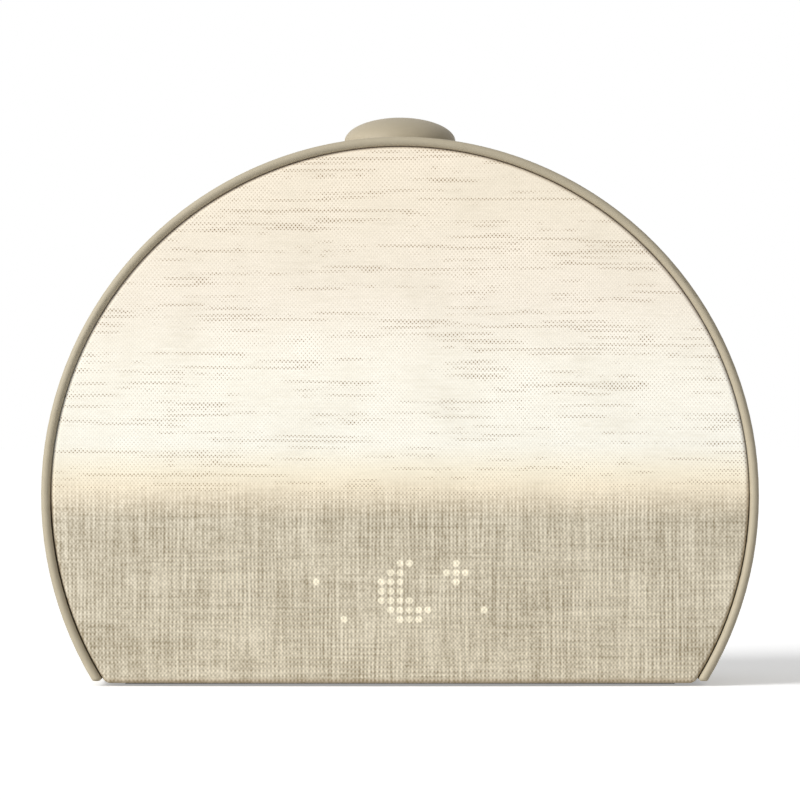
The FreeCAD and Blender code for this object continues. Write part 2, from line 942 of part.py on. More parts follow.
def base_screw_places():
    """X and depth of the screws under the base."""
    right = ((front_boss_x, front_boss_depth), (rear_boss_x, rear_inner - rear_boss_reach))
    return [(side * x, depth) for side in (-1, 1) for x, depth in right]


def rear_openings():
    """Holes and pilot holes of the case."""
    cuts = [
        column(0, button_depth, button_radius + button_clearance, well_bottom - 1, case_radius * 2),
        rod(0, speaker_height, speaker_opening, rear_inner - 1, case_depth + 1),
        rod(
            0, speaker_height, grille_radius + grille_clearance, case_depth - grille_recess, case_depth + 1
        ),
        block(
            -pocket_half_width, pocket_half_width, pocket_floor, case_depth + 1,
            inlet_height - pocket_half_rise, inlet_height + pocket_half_rise,
        ),
        rod(0, inlet_height, jack_nose_radius + nose_clearance, pocket_floor - pocket_wall - 1, case_depth),
    ]
    for side in (-1, 1):
        cuts.append(rod(
            side * dial_x, dial_height, bushing_radius + bushing_clearance, rear_inner - 1, case_depth + 1
        ))
    reach = slider_half_width + slider_travel / 2 + slider_clearance
    rise = slider_half_rise + slider_clearance
    low = slider_height - rise
    high = slider_height + rise
    cuts.append(block(-reach, reach, rear_inner - 1, case_depth + 1, low, high))
    large = large_screw_radius + thread_clearance
    small = small_screw_radius + thread_clearance
    for degrees in post_angles:
        x, z = around(post_circle, degrees)
        cuts.append(rod(x, z, large, plate_back - 1, plate_back + pilot_depth))
    for x, depth in base_screw_places():
        cuts.append(column(x, depth, large, base_top - 1, base_top + base_boss_height - 1.5))
    for side in (-1, 1):
        cuts.append(column(side * bracket_boss_x, button_depth, small, bracket_top - 1, bracket_top + 6))
    for x, z in enclosure_bosses():
        front = rear_inner - enclosure_boss_length
        cuts.append(rod(x, z, small, front - 1, front + enclosure_boss_length))
    for x, z in dial_posts():
        cuts.append(rod(x, z, small, dial_board_back - 1, dial_board_back + 6))
    for x, z in alarm_posts():
        cuts.append(rod(x, z, small, alarm_board_back - 1, alarm_board_back + 6))
    for x, z in speaker_screw_places():
        cuts.append(rod(x, z, small, rear_inner - 1, rear_inner + wall - grille_recess + 0.6))
    return cuts


def rear_housing():
    """Case: rim, side, shoulder and rear face in one moulding, open at the front and underneath."""
    skin = case_skin().common(above(case_bottom))
    low = [edge for edge in skin.Edges if edge.optimalBoundingBox(False).ZMax < case_bottom + 0.01]
    body = joined([skin.makeFillet(case_foot_round, low)] + rear_features())
    return without(body, rear_openings()).removeSplitter()


def base_plate():
    """Cover under the case, with a shallow recess for the foot."""
    form = case_form(wall + base_gap)
    front = skirt_depth + base_gap + 0.1
    slab = block(-case_radius, case_radius, front, case_depth, case_bottom, base_top)
    plate = form.common(slab)
    cuts = [foot_form(case_bottom - 1, case_bottom + foot_recess)]
    seat = case_bottom + foot_recess + large_head_height
    for x, depth in base_screw_places():
        cuts.append(column(x, depth, large_head_radius + hole_clearance, case_bottom - 1, seat))
        cuts.append(column(x, depth, large_screw_radius + hole_clearance, case_bottom, base_top + 1))
    pilot = small_screw_radius + thread_clearance
    for x in power_screw_places():
        cuts.append(column(x, power_screw_depth(), pilot, base_top - 1.2, base_top))
    posts = [
        column(x, power_screw_depth(), dial_post_radius, base_top - 0.5, power_board_top - board_thickness)
        for x in power_screw_places()
    ]
    body = joined([plate] + posts)
    pilots = [
        column(x, power_screw_depth(), pilot, base_top - 1, power_board_top) for x in power_screw_places()
    ]
    return without(body, cuts + pilots)


def foot_form(low, high):
    """Outline of the foot between two heights, inset from the base plate's edge."""
    slab = block(
        -case_radius, case_radius, skirt_depth + foot_front_inset, case_depth, case_bottom, base_top
    )
    outline = case_form(wall + base_gap + foot_inset).common(slab)
    section = outline.slice(V(0, 0, 1), case_bottom + foot_recess)[0]
    face = Part.Face(section)
    face.translate(V(0, 0, low - case_bottom - foot_recess))
    return face.extrude(V(0, 0, high - low))


def foot_pad():
    """Soft foot that the clock stands on, bonded into the base plate's recess."""
    return foot_form(0, case_bottom + foot_recess)


def base_screws():
    """Screws that hold the base plate, hidden by the foot."""
    seat = case_bottom + foot_recess + large_head_height
    return [large_screw(V(x, at(depth), seat), V(0, 0, 1)) for x, depth in base_screw_places()]


def button_cap():
    """Domed button with a skirt, a stop flange, a spring seat and a stem inside."""
    flange_top = well_bottom - stop_gap
    flange_low = flange_top - flange_thickness
    skirt = column(0, button_depth, button_radius, flange_low, dome_base)
    flange = column(0, button_depth, button_radius + flange_reach, flange_low, flange_top)
    dome = dome_form(button_radius, button_dome)
    inner = button_radius - button_wall
    hollow = joined([
        column(0, button_depth, inner, flange_low - 1, dome_base),
        dome_form(inner, button_dome - button_wall),
    ])
    shell = joined([skirt, dome, flange]).cut(hollow)
    seat_low = bracket_top + spring_length
    half = spring_seat_width / 2
    seat = column(0, button_depth, spring_radius + half, seat_low, dome_base).cut(
        column(0, button_depth, spring_radius - half, seat_low - 1, dome_base + 1)
    )
    seat_top = column(0, button_depth, spring_radius + half, dome_base - 0.5, button_top).cut(
        column(0, button_depth, spring_radius - half, dome_base - 1, button_top + 1)
    ).common(dome_form(button_radius - 0.5, button_dome - 0.5))
    stem = column(0, button_depth, stem_radius, plunger_top, dome_base)
    stem_end = column(0, button_depth, stem_radius, dome_base - 0.5, button_top).common(
        dome_form(button_radius - 0.5, button_dome - 0.5)
    )
    return joined([shell, seat, seat_top, stem, stem_end])


def dome_form(radius, rise):
    """Half ellipsoid that stands on the button's widest level."""
    level = Part.BezierCurve()
    level.setPoles([
        V(radius, at(button_depth), dome_base),
        V(radius, at(button_depth), dome_base + rise),
        V(0, at(button_depth), dome_base + rise),
    ])
    level.setWeight(2, math.sqrt(0.5))
    foot = V(0, at(button_depth), dome_base)
    wire = Part.Wire([
        Part.makeLine(foot, V(radius, at(button_depth), dome_base)),
        level.toShape(),
        Part.makeLine(V(0, at(button_depth), dome_base + rise), foot),
    ])
    return Part.Face(wire).revolve(foot, V(0, 0, 1), 360)


def button_spring():
    """Coil spring between the bracket and the button's spring seat, with straight flat ends left off."""
    low = bracket_top + spring_wire
    high = bracket_top + spring_length - spring_wire
    steps = spring_turns * 4
    centre = V(0, at(button_depth), 0)

    def on_helix(share):
        turn = 2 * math.pi * spring_turns * share
        return centre + V(
            spring_radius * math.cos(turn), spring_radius * math.sin(turn), low + (high - low) * share
        )

    arcs = []
    for i in range(steps):
        arcs.append(Part.Arc(
            on_helix(i / steps), on_helix((i + 0.5) / steps), on_helix((i + 1) / steps)
        ).toShape())
    path = Part.Wire(arcs)
    heading = arcs[0].tangentAt(arcs[0].FirstParameter)
    section = Part.Wire(Part.makeCircle(spring_wire, on_helix(0), heading))
    return swept(path, section)


def button_bracket():
    """Plate under the button that carries its spring and its switch board."""
    low = bracket_top - bracket_thickness
    plate = block(
        -bracket_half_length, bracket_half_length, button_depth - bracket_half_width,
        button_depth + bracket_half_width, low, bracket_top,
    )
    pads = [
        column(x, button_depth, dial_post_radius, low - button_board_drop, low + 0.5)
        for x in button_board_screw_places()
    ]
    body = joined([plate] + pads)
    cuts = [column(0, button_depth, bracket_window, low - 5, bracket_top + 1)]
    hole = small_screw_radius + hole_clearance
    for side in (-1, 1):
        cuts.append(column(side * bracket_boss_x, button_depth, hole, low - 1, bracket_top + 1))
    pilot = small_screw_radius + thread_clearance
    for x in button_board_screw_places():
        cuts.append(column(x, button_depth, pilot, low - button_board_drop - 1, bracket_top - 0.4))
    return without(body, cuts)


def button_board_screw_places():
    """X of the two screws of the button's board."""
    return (-button_board_half_length + 3.2, button_board_half_length - 3.2)


def bracket_screws():
    """Screws that hold the bracket to the case's two bosses."""
    low = bracket_top - bracket_thickness
    return [small_screw(V(side * bracket_boss_x, at(button_depth), low), V(0, 0, 1)) for side in (-1, 1)]


def button_board_top():
    """Height of the upper face of the button's board."""
    return bracket_top - bracket_thickness - button_board_drop


def button_board():
    """Small board that carries the button's switch."""
    top = button_board_top()
    board = block(
        -button_board_half_length, button_board_half_length, button_depth - button_board_half_width,
        button_depth + button_board_half_width, top - board_thickness, top,
    )
    holes = [
        column(x, button_depth, small_screw_radius + hole_clearance, top - 3, top + 1)
        for x in button_board_screw_places()
    ]
    half = connector_size[0] / 2
    reach = connector_size[2] / 2
    socket = block(
        -half, half, socket_depth - reach, socket_depth + reach,
        top - board_thickness - connector_size[1], top - board_thickness,
    )
    return joined([without(board, holes), socket])


def button_switch():
    """Push switch that the button works, with a bore for its plunger."""
    top = button_board_top()
    half = switch_half_width
    body = block(-half, half, button_depth - half, button_depth + half, top, switch_top)
    bore = column(0, button_depth, plunger_radius + button_clearance, top + 1.5, switch_top + 1)
    return body.cut(bore)


def button_plunger():
    """The switch's plunger, which the button's stem rests on."""
    return column(0, button_depth, plunger_radius, switch_top - 2.5, plunger_top)


def speaker_screw_places():
    """X and height of the loudspeaker's four screws."""
    made = []
    for side in (-speaker_screw_circle, speaker_screw_circle):
        made.append((0, speaker_height + side))
        made.append((side, speaker_height))
    return made


def speaker_ring(points):
    """Solid turned about the loudspeaker's axis from (radius, depth) points."""
    return lathe(profile(points, 0, speaker_height), 0, speaker_height)


def speaker_gasket():
    """Foam ring that seals the loudspeaker to the rear face."""
    body = ring(0, speaker_height, speaker_flange_radius, speaker_opening, flange_back, rear_inner)
    holes = [
        rod(x, z, small_screw_radius + hole_clearance, flange_back - 1, rear_inner + 1)
        for x, z in speaker_screw_places()
    ]
    return without(body, holes)


def basket_back():
    """Depth of the basket's rear ring, which sits on the top plate."""
    return flange_back - basket_depth


def speaker_basket():
    """Pressed frame with a screwed flange and four windows."""
    mouth = surround_middle + surround_roll + 0.7
    floor = basket_back()
    body = speaker_ring([
        (speaker_flange_radius, flange_front),
        (speaker_flange_radius, flange_back),
        (mouth - 0.6, flange_back),
        (mouth - 0.6, flange_front),
        (magnet_radius + 0.5, floor + basket_wall),
        (top_plate_bore + 0.8, floor + basket_wall),
        (top_plate_bore + 0.8, floor),
        (magnet_radius + 1.0, floor),
        (mouth + 0.6, flange_front),
    ])
    cuts = [
        rod(x, z, small_screw_radius + hole_clearance, flange_front - 1, flange_back + 1)
        for x, z in speaker_screw_places()
    ]
    half = math.radians(basket_window_angle / 2)
    low, high = floor + window_margin, flange_front - window_margin
    for i in range(4):
        turn = math.radians(45 + 90 * i)
        corners = [V(0, at(low), speaker_height)]
        for swing in (-half, half):
            corners.append(V(
                40 * math.cos(turn + swing), at(low), speaker_height + 40 * math.sin(turn + swing)
            ))
        wedge = Part.Face(Part.makePolygon(corners + corners[:1])).extrude(V(0, high - low, 0))
        cuts.append(wedge)
    return without(body, cuts)


def speaker_top_plate():
    """Steel ring that closes the magnet's gap."""
    back = basket_back()
    return ring(0, speaker_height, magnet_radius, top_plate_bore, back - top_plate_thickness, back)


def speaker_magnet():
    """Ring magnet."""
    back = basket_back() - top_plate_thickness
    return ring(0, speaker_height, magnet_radius, magnet_bore, back - magnet_length, back)


def speaker_yoke():
    """Steel back plate with the centre pole."""
    front = basket_back() - top_plate_thickness - magnet_length
    return joined([
        rod(0, speaker_height, magnet_radius, front - yoke_thickness, front),
        rod(0, speaker_height, pole_radius, front - 0.5, basket_back()),
    ])


def cone_neck():
    """Depth where the cone meets the voice coil."""
    return flange_front - cone_rise


def voice_coil():
    """Coil and former that hang in the magnet's gap."""
    front = basket_back() - top_plate_thickness - 0.4
    return ring(0, speaker_height, coil_outer, coil_inner, front, cone_neck() + 1.0)


def speaker_cone():
    """Paper cone from the voice coil to the surround."""
    neck = cone_neck()
    edge = surround_level
    return speaker_ring([
        (coil_outer, neck),
        (coil_outer, neck + 1.0),
        (cone_radius, edge),
        (cone_radius + cone_lip, edge),
        (cone_radius + cone_lip, edge - cone_thickness),
        (cone_radius + cone_lip / 4, edge - cone_thickness),
    ])


def speaker_dust_cap():
    """Domed cap over the voice coil."""
    neck = cone_neck()
    outer = coil_outer - 0.05
    return speaker_ring([
        (outer, neck + 1.0),
        (outer, neck + 1.6),
        (outer * 0.7, neck + 2.9),
        (0, neck + 3.5),
        (0, neck + 3.1),
        (outer * 0.66, neck + 2.5),
        (outer - 0.6, neck + 1.4),
        (outer - 0.6, neck + 1.0),
    ])


def speaker_surround():
    """Half-round rubber roll between the cone's edge and the basket's flange."""
    small = surround_roll - surround_thickness

    def place(offset, rise=0.0):
        return V(surround_middle + offset, at(surround_level + rise), speaker_height)

    wire = Part.Wire([
        Part.Arc(place(-surround_roll), place(0, surround_roll), place(surround_roll)).toShape(),
        Part.makeLine(place(surround_roll), place(small)),
        Part.Arc(place(small), place(0, small), place(-small)).toShape(),
        Part.makeLine(place(-small), place(-surround_roll)),
    ])
    return lathe(wire, 0, speaker_height)


def speaker_spider():
    """Ribbed cloth disc that centres the voice coil."""
    level = basket_back() + basket_wall + 1.2
    waves = 3
    inner, outer = coil_outer, magnet_radius + 0.4
    count = waves * 2
    top, low = [], []
    for i in range(count + 1):
        radius = inner + (outer - inner) * i / count
        swing = 0.45 * (i % 2)
        top.append((radius, level + swing + spider_thickness))
        low.append((radius, level + swing))
    return speaker_ring(top + low[::-1])


def speaker_screws():
    """Screws that hold the loudspeaker to the rear face."""
    return [
        screw(
            V(x, at(flange_front), z), V(0, 1, 0), small_screw_radius,
            speaker_flange_thickness + gasket_thickness + 1.4, small_head_radius, small_head_height,
        )
        for x, z in speaker_screw_places()
    ]


def speaker_enclosure():
    """Sealed cup behind the loudspeaker, with four screwed ears and a wire gland."""
    front = enclosure_front
    cup = rod(0, speaker_height, enclosure_outer, front, rear_inner).cut(
        rod(0, speaker_height, enclosure_inner, front + enclosure_wall, rear_inner + 1)
    )
    ear_back = rear_inner - enclosure_boss_length
    ears = []
    for x, z in enclosure_bosses():
        ears.append(rod(x, z, enclosure_boss_radius + 0.8, ear_back - enclosure_ear_thickness, ear_back))
    for degrees in (45, 135, 225, 315):
        bridge = block(
            enclosure_inner + 0.5, enclosure_outer + enclosure_boss_radius,
            ear_back - enclosure_ear_thickness, ear_back, speaker_height - 3, speaker_height + 3,
        )
        bridge.rotate(V(0, 0, speaker_height), V(0, 1, 0), -degrees)
        ears.append(bridge)
    gland = block(-4, 4, front - 3.5, front + 0.5, speaker_height - 18, speaker_height - 12)
    body = joined([cup, gland] + ears)
    holes = [
        rod(x, z, small_screw_radius + hole_clearance, ear_back - 5, ear_back + 0.01)
        for x, z in enclosure_bosses()
    ]
    return without(body, holes)


def enclosure_screws():
    """Screws that hold the enclosure's ears."""
    front = rear_inner - enclosure_boss_length - enclosure_ear_thickness
    return [small_screw(V(x, at(front), z), V(0, 1, 0)) for x, z in enclosure_bosses()]


def speaker_grille():
    """Round perforated plate let into the rear face."""
    back = case_depth - grille_recess + cloth_thickness + grille_thickness
    front = back - grille_thickness
    plate = rod(0, speaker_height, grille_radius, front, back)
    holes = [rod(0, speaker_height, grille_hole_radius, front - 1, back + 1)]
    for k in range(1, grille_rings + 1):
        for i in range(6 * k):
            turn = math.radians(60.0 * i / k + 30 * (k % 2))
            radius = grille_ring_pitch * k
            holes.append(rod(
                radius * math.cos(turn), speaker_height + radius * math.sin(turn),
                grille_hole_radius, front - 1, back + 1,
            ))
    return without(plate, holes)


def grille_cloth():
    """Fine black cloth behind the grille."""
    front = case_depth - grille_recess
    return rod(0, speaker_height, grille_radius, front, front + cloth_thickness)


def dial_knob(x):
    """Fluted dial with a pointer dimple and a flatted bore for its shaft."""
    body = rod(x, dial_height, dial_radius, dial_front, dial_back)
    rims = [
        edge for edge in body.Edges
        if abs(edge.BoundBox.YMax - at(dial_back)) < 0.01 and edge.BoundBox.YLength < 0.01
    ]
    body = body.makeFillet(dial_round, rims)
    cuts = [shaft(x, dial_front - 1, dial_back - shaft_end_gap, 0.0)]
    cuts.append(rod(x, dial_height + dial_radius - 4, dial_pointer_radius, dial_back - 0.5, dial_back + 1))
    moat = (dial_radius - 2.5, bushing_radius + 1.5)
    cuts.append(ring(x, dial_height, *moat, dial_front - 1, dial_front + 2.5))
    for i in range(dial_flutes):
        turn = 2 * math.pi * i / dial_flutes
        reach = dial_radius + flute_radius * 0.45
        cuts.append(rod(
            x + reach * math.cos(turn), dial_height + reach * math.sin(turn),
            flute_radius, dial_front - 1, dial_back - dial_round,
        ))
    return without(body, cuts)


def shaft(x, d0, d1, slack):
    """Round shaft with a flat along it."""
    radius = shaft_radius - slack
    flat = block(
        x - shaft_radius, x + shaft_radius, d0 - 1, d1 + 1,
        dial_height + shaft_flat - slack, dial_height + 2 * shaft_radius,
    )
    return rod(x, dial_height, radius, d0, d1).cut(flat)


def encoder_shaft(x):
    """The encoder's shaft, from inside its body to the dial's bore."""
    inside = encoder_back - 3.5
    disc = rod(x, dial_height, shaft_radius + 1.2, inside - 0.8, inside)
    plain = rod(x, dial_height, shaft_radius - bushing_clearance, inside - 0.5, dial_front - 0.2)
    return joined([disc, plain, shaft(x, dial_front - 0.4, dial_back - shaft_end_gap, 0.0)])


def encoder(x):
    """Rotary encoder: square body and the bushing that guides the shaft."""
    half = encoder_half_width
    body = block(x - half, x + half, dial_board_back, encoder_back, dial_height - half, dial_height + half)
    bushing = rod(x, dial_height, bushing_radius, encoder_back - 0.5, case_depth + bushing_proud)
    chamber = rod(x, dial_height, shaft_radius + 1.6, encoder_back - 4.8, encoder_back - 3.1)
    bore = rod(x, dial_height, shaft_radius, encoder_back - 4, case_depth + 1)
    return without(joined([body, bushing]), [chamber, bore])


def dial_boards():
    """Two small boards that carry the dials' encoders."""
    made = []
    half = dial_board_half_width
    for side in (-1, 1):
        x = side * dial_x
        board = block(
            x - half, x + half, dial_board_back - board_thickness, dial_board_back,
            dial_height - half, dial_height + half,
        )
        holes = [
            rod(px, pz, small_screw_radius + hole_clearance, dial_board_back - 4, dial_board_back + 1)
            for px, pz in dial_posts() if abs(px - x) < half
        ]
        back = dial_board_back - board_thickness
        half_wide = connector_size[0] / 2
        low = dial_height - half + 2
        socket = block(
            x - half_wide, x + half_wide, back - connector_size[1], back, low, low + connector_size[2]
        )
        made.append(joined([without(board, holes), socket]))
    return made


def alarm_slider():
    """Slider with a ridged grip outside, a neck through the slot and a flange with a fork inside."""
    x = -slider_travel / 2
    grip = block(
        x - slider_half_width, x + slider_half_width, slider_flange_front, case_depth + slider_proud,
        slider_height - slider_half_rise, slider_height + slider_half_rise,
    )
    flange = block(
        x - slider_flange_reach, x + slider_flange_reach, slider_flange_front, slider_flange_back,
        slider_height - slider_flange_rise, slider_height + slider_flange_rise,
    )
    fork_front = slider_flange_front - 2 * switch_lever
    prongs = []
    for side in (-1, 1):
        near = x + side * (switch_lever + 0.1)
        far = x + side * (switch_lever + 1.5)
        low, high = sorted((near, far))
        prongs.append(block(
            low, high, fork_front, slider_flange_front + 0.5, slider_height - 1.5, slider_height + 1.5
        ))
    body = joined([grip, flange] + prongs)
    back = case_depth + slider_proud
    grooves = [
        block(x + step - 0.35, x + step + 0.35, back - 0.5, back + 1, slider_height - 3, slider_height + 3)
        for step in (-1.8, 0.0, 1.8)
    ]
    return without(body, grooves)


def alarm_lever():
    """The slide switch's lever, held in the slider's fork."""
    x = -slider_travel / 2
    front = alarm_board_back + switch_body_depth - 1.2
    return block(
        x - switch_lever, x + switch_lever, front, slider_flange_front - 0.2,
        slider_height - switch_lever, slider_height + switch_lever,
    )


def alarm_switch():
    """Slide switch body with the slot that its lever moves in."""
    half = switch_body_half_width
    body = block(
        -half, half, alarm_board_back, alarm_board_back + switch_body_depth,
        slider_height - switch_body_half_rise, slider_height + switch_body_half_rise,
    )
    reach = switch_lever + slider_travel / 2 + slider_clearance
    slot = block(
        -reach, reach, alarm_board_back + switch_body_depth - 1.6, alarm_board_back + switch_body_depth + 1,
        slider_height - switch_lever - slider_clearance, slider_height + switch_lever + slider_clearance,
    )
    return body.cut(slot)


def alarm_board():
    """Board that carries the alarm switch."""
    back = alarm_board_back
    board = block(
        -alarm_board_half_width, alarm_board_half_width, back - board_thickness, back,
        slider_height - alarm_board_half_rise, slider_height + alarm_board_half_rise,
    )
    holes = [rod(x, z, small_screw_radius + hole_clearance, back - 4, back + 1) for x, z in alarm_posts()]
    front = back - board_thickness
    half_wide = connector_size[0] / 2
    rise = connector_size[2] / 2
    socket = block(
        alarm_connector_x - half_wide, alarm_connector_x + half_wide, front - connector_size[1], front,
        slider_height - rise, slider_height + rise,
    )
    return joined([without(board, holes), socket])


def power_screw_places():
    """X of the power board's two screws."""
    return (-power_board_half_width + 2.6, power_board_half_width - 2.6)


def power_screw_depth():
    """Depth of the power board's screws."""
    return pocket_floor - power_screw_reach


def power_jack():
    """Power socket: a moulded body with a round mouth, and the pin in it."""
    back = pocket_floor - pocket_wall
    front = back - jack_length + pocket_wall
    body = block(
        -jack_half_width, jack_half_width, front, back - 0.1,
        inlet_height - jack_half_rise, inlet_height + jack_half_rise,
    )
    nose = rod(0, inlet_height, jack_nose_radius, back - 1, pocket_floor)
    barrel = rod(0, inlet_height, barrel_radius, pocket_floor - barrel_depth, pocket_floor + 1)
    pin_foot = pocket_floor - barrel_depth - 0.5
    pin = rod(0, inlet_height, contact_pin_radius, pin_foot, pocket_floor - contact_pin_setback)
    return joined([joined([body, nose]).cut(barrel), pin])


def power_board():
    """Board under the power socket, on the base plate's posts."""
    back = pocket_floor - pocket_wall - 0.4
    front = back - power_board_length
    top = power_board_top
    half_wide = connector_size[0] / 2
    board = block(-power_board_half_width, power_board_half_width, front, back, top - board_thickness, top)
    holes = [
        column(x, power_screw_depth(), small_screw_radius + hole_clearance, top - 4, top + 1)
        for x in power_screw_places()
    ]
    socket = block(
        power_connector_x - half_wide, power_connector_x + half_wide, front, front + connector_size[1],
        top, top + connector_size[2],
    )
    return joined([without(board, holes), socket])


def board_screws():
    """All the screws that hold printed boards."""
    made = []
    for x, z in display_corners():
        made.append(screw(
            V(x, at(display_front + board_thickness), z), V(0, -1, 0), small_screw_radius,
            small_screw_length - 1.5, small_head_radius, small_head_height,
        ))
    made += [small_screw(V(x, at(main_back), z), V(0, -1, 0)) for x, z in main_board_corners()]
    front = dial_board_back - board_thickness
    made += [small_screw(V(x, at(front), z), V(0, 1, 0)) for x, z in dial_posts()]
    front = alarm_board_back - board_thickness
    made += [small_screw(V(x, at(front), z), V(0, 1, 0)) for x, z in alarm_posts()]
    low = button_board_top() - board_thickness
    for x in button_board_screw_places():
        made.append(screw(
            V(x, at(button_depth), low), V(0, 0, 1), small_screw_radius,
            board_thickness + button_board_drop + 1.2, small_head_radius, small_head_height,
        ))
    for x in power_screw_places():
        made.append(screw(
            V(x, at(power_screw_depth()), power_board_top), V(0, 0, -1), small_screw_radius,
            small_screw_length - 1.0, small_head_radius, small_head_height,
        ))
    for x in strip_screw_places():
        made.append(screw(
            V(x, at(strip_front + strip_screw_line), baffle_top + strip_thickness), V(0, 0, -1),
            small_screw_radius, strip_thickness + box_wall, small_head_radius, small_head_height,
        ))
    return made


def display_ribbon():
    """Flat cable from the display's board through the light box's plate to the main board."""
    start_height = display_height + 9
    run_depth = display_front + board_thickness + 1.2
    turn_height = main_board_high - 3.5
    end_depth = main_front - 1.3
    points = [
        V(0, at(run_depth), start_height),
        V(0, at(run_depth), turn_height),
        V(0, at(end_depth), turn_height),
        V(0, at(end_depth), main_board_high - 8),
    ]
    path = bent_path(points, ribbon_bend)
    half, thin = ribbon_width / 2, ribbon_thickness / 2
    outline = ((-half, -thin), (half, -thin), (half, thin), (-half, thin))
    corners = [V(x, at(run_depth) + y, start_height) for x, y in outline]
    return swept(path, Part.makePolygon(corners + corners[:1]))


def corner_spread(side):
    """Offset between a pair's two wires that stays across the pair at every turn towards this side."""
    return V(math.sqrt(2) / 2, side * math.sqrt(2) / 2, 0) * math.sqrt(2)


def wiring():
    """Paired leads from the main board to the dials, button, inlet, loudspeaker, alarm switch and lamps."""
    across = V(1, 0, 0)
    left_dial, button, power, speaker, alarm, right_dial, strip = connector_places
    top = main_board_high - 0.8
    dial_low = dial_height - dial_board_half_width + 2 + connector_size[2] / 2
    dial_front_face = dial_board_back - board_thickness - connector_size[1]
    wires = []
    for x, side in ((left_dial, -1), (right_dial, 1)):
        wires += lead([
            V(x, at(socket_depth), top),
            V(x, at(socket_depth), dial_low),
            V(side * dial_x, at(socket_depth), dial_low),
            V(side * dial_x, at(dial_front_face), dial_low),
        ], corner_spread(-side))
    socket_low = button_board_top() - board_thickness - connector_size[1]
    wires += lead([
        V(button, at(socket_depth), top),
        V(button, at(socket_depth), socket_low - 42),
        V(0, at(socket_depth), socket_low - 16),
        V(0, at(socket_depth), socket_low),
    ], V(0, 1, 0))
    power_low = power_board_top + connector_size[2] / 2
    power_front = pocket_floor - pocket_wall - 0.4 - power_board_length
    wires += lead([
        V(power, at(socket_depth), top),
        V(power, at(socket_depth), top + 5),
        V(power, at(inlet_lead_depth), top + 5),
        V(power, at(inlet_lead_depth), power_low),
        V(power, at(power_front), power_low),
    ], across)
    gland_height = speaker_height - 15
    wires += lead([
        V(speaker, at(socket_depth), top),
        V(speaker, at(socket_depth), gland_height),
        V(speaker, at(enclosure_front - 3.5), gland_height),
    ], across)
    wires += lead([
        V(alarm, at(socket_depth), top),
        V(alarm, at(socket_depth), slider_height),
        V(alarm, at(alarm_board_back - board_thickness - connector_size[1]), slider_height),
    ], across)
    pad_depth = strip_front + strip_screw_line
    wires += lead([
        V(strip, at(socket_depth), top),
        V(strip, at(socket_depth), strip_hole_height()),
        V(strip_pad_x(), at(socket_depth), strip_hole_height()),
        V(strip_pad_x(), at(pad_depth), strip_hole_height()),
        V(strip_pad_x(), at(pad_depth), baffle_top + strip_thickness),
    ], corner_spread(1))
    return wires


SOLIDS = {
    "rear_housing": rear_housing,
    "base_plate": base_plate,
    "foot_pad": foot_pad,
    "base_screws": base_screws,
    "fabric_cover": fabric_cover,
    "sunrise_diffuser": sunrise_diffuser,
    "display_mask": display_mask,
    "light_gasket": light_gasket,
    "light_box": light_box,
    "chassis_screws": chassis_screws,
    "reflector_sheet": reflector_sheet,
    "sunrise_board": sunrise_board,
    "sunrise_leds": sunrise_leds,
    "display_film": display_film,
    "display_board": display_board,
    "display_leds": display_leds,
    "light_sensor": light_sensor,
    "display_ribbon": display_ribbon,
    "main_board": main_board,
    "board_chips": board_chips,
    "wifi_module": wifi_module,
    "capacitors": capacitors,
    "board_connectors": board_connectors,
    "board_screws": board_screws,
    "speaker_gasket": speaker_gasket,
    "speaker_basket": speaker_basket,
    "speaker_top_plate": speaker_top_plate,
    "speaker_magnet": speaker_magnet,
    "speaker_yoke": speaker_yoke,
    "voice_coil": voice_coil,
    "speaker_cone": speaker_cone,
    "speaker_dust_cap": speaker_dust_cap,
    "speaker_surround": speaker_surround,
    "speaker_spider": speaker_spider,
    "speaker_screws": speaker_screws,
    "speaker_enclosure": speaker_enclosure,
    "enclosure_screws": enclosure_screws,
    "speaker_grille": speaker_grille,
    "grille_cloth": grille_cloth,
    "button_cap": button_cap,
    "button_spring": button_spring,
    "button_bracket": button_bracket,
    "bracket_screws": bracket_screws,
    "button_board": button_board,
    "button_switch": button_switch,
    "button_plunger": button_plunger,
    "volume_knob": lambda: dial_knob(dial_x),
    "volume_encoder": lambda: encoder(dial_x),
    "volume_shaft": lambda: encoder_shaft(dial_x),
    "brightness_knob": lambda: dial_knob(-dial_x),
    "brightness_encoder": lambda: encoder(-dial_x),
    "brightness_shaft": lambda: encoder_shaft(-dial_x),
    "dial_boards": dial_boards,
    "alarm_slider": alarm_slider,
    "alarm_lever": alarm_lever,
    "alarm_switch": alarm_switch,
    "alarm_board": alarm_board,
    "power_jack": power_jack,
    "power_board": power_board,
    "wiring": wiring,
}


def main():
    """Builds every piece and writes one file for each."""
    os.makedirs("parts", exist_ok=True)
    for name, build in SOLIDS.items():
        made = build()
        shape = Part.makeCompound(made) if isinstance(made, list) else made
        shape.exportStep("parts/" + name + ".step")
        good = all(solid.isValid() and solid.Volume > 0 for solid in shape.Solids)
        size = shape.BoundBox
        print(
            name, len(shape.Solids), "ok" if good else "BAD",
            "volume", round(shape.Volume, 1),
            "x", round(size.XMin, 2), round(size.XMax, 2),
            "y", round(size.YMin, 2), round(size.YMax, 2),
            "z", round(size.ZMin, 2), round(size.ZMax, 2),
        )


main()
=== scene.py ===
"""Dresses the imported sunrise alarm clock.

The woven front carries a lit sky and dots, every node gets a finish, and a studio stands round it all.
"""

import logging
import math
from dataclasses import dataclass, field
from enum import Enum
from typing import Iterable, Optional, Protocol, Sequence, Union

import bmesh
import bpy
from mathutils import Matrix, Vector, noise


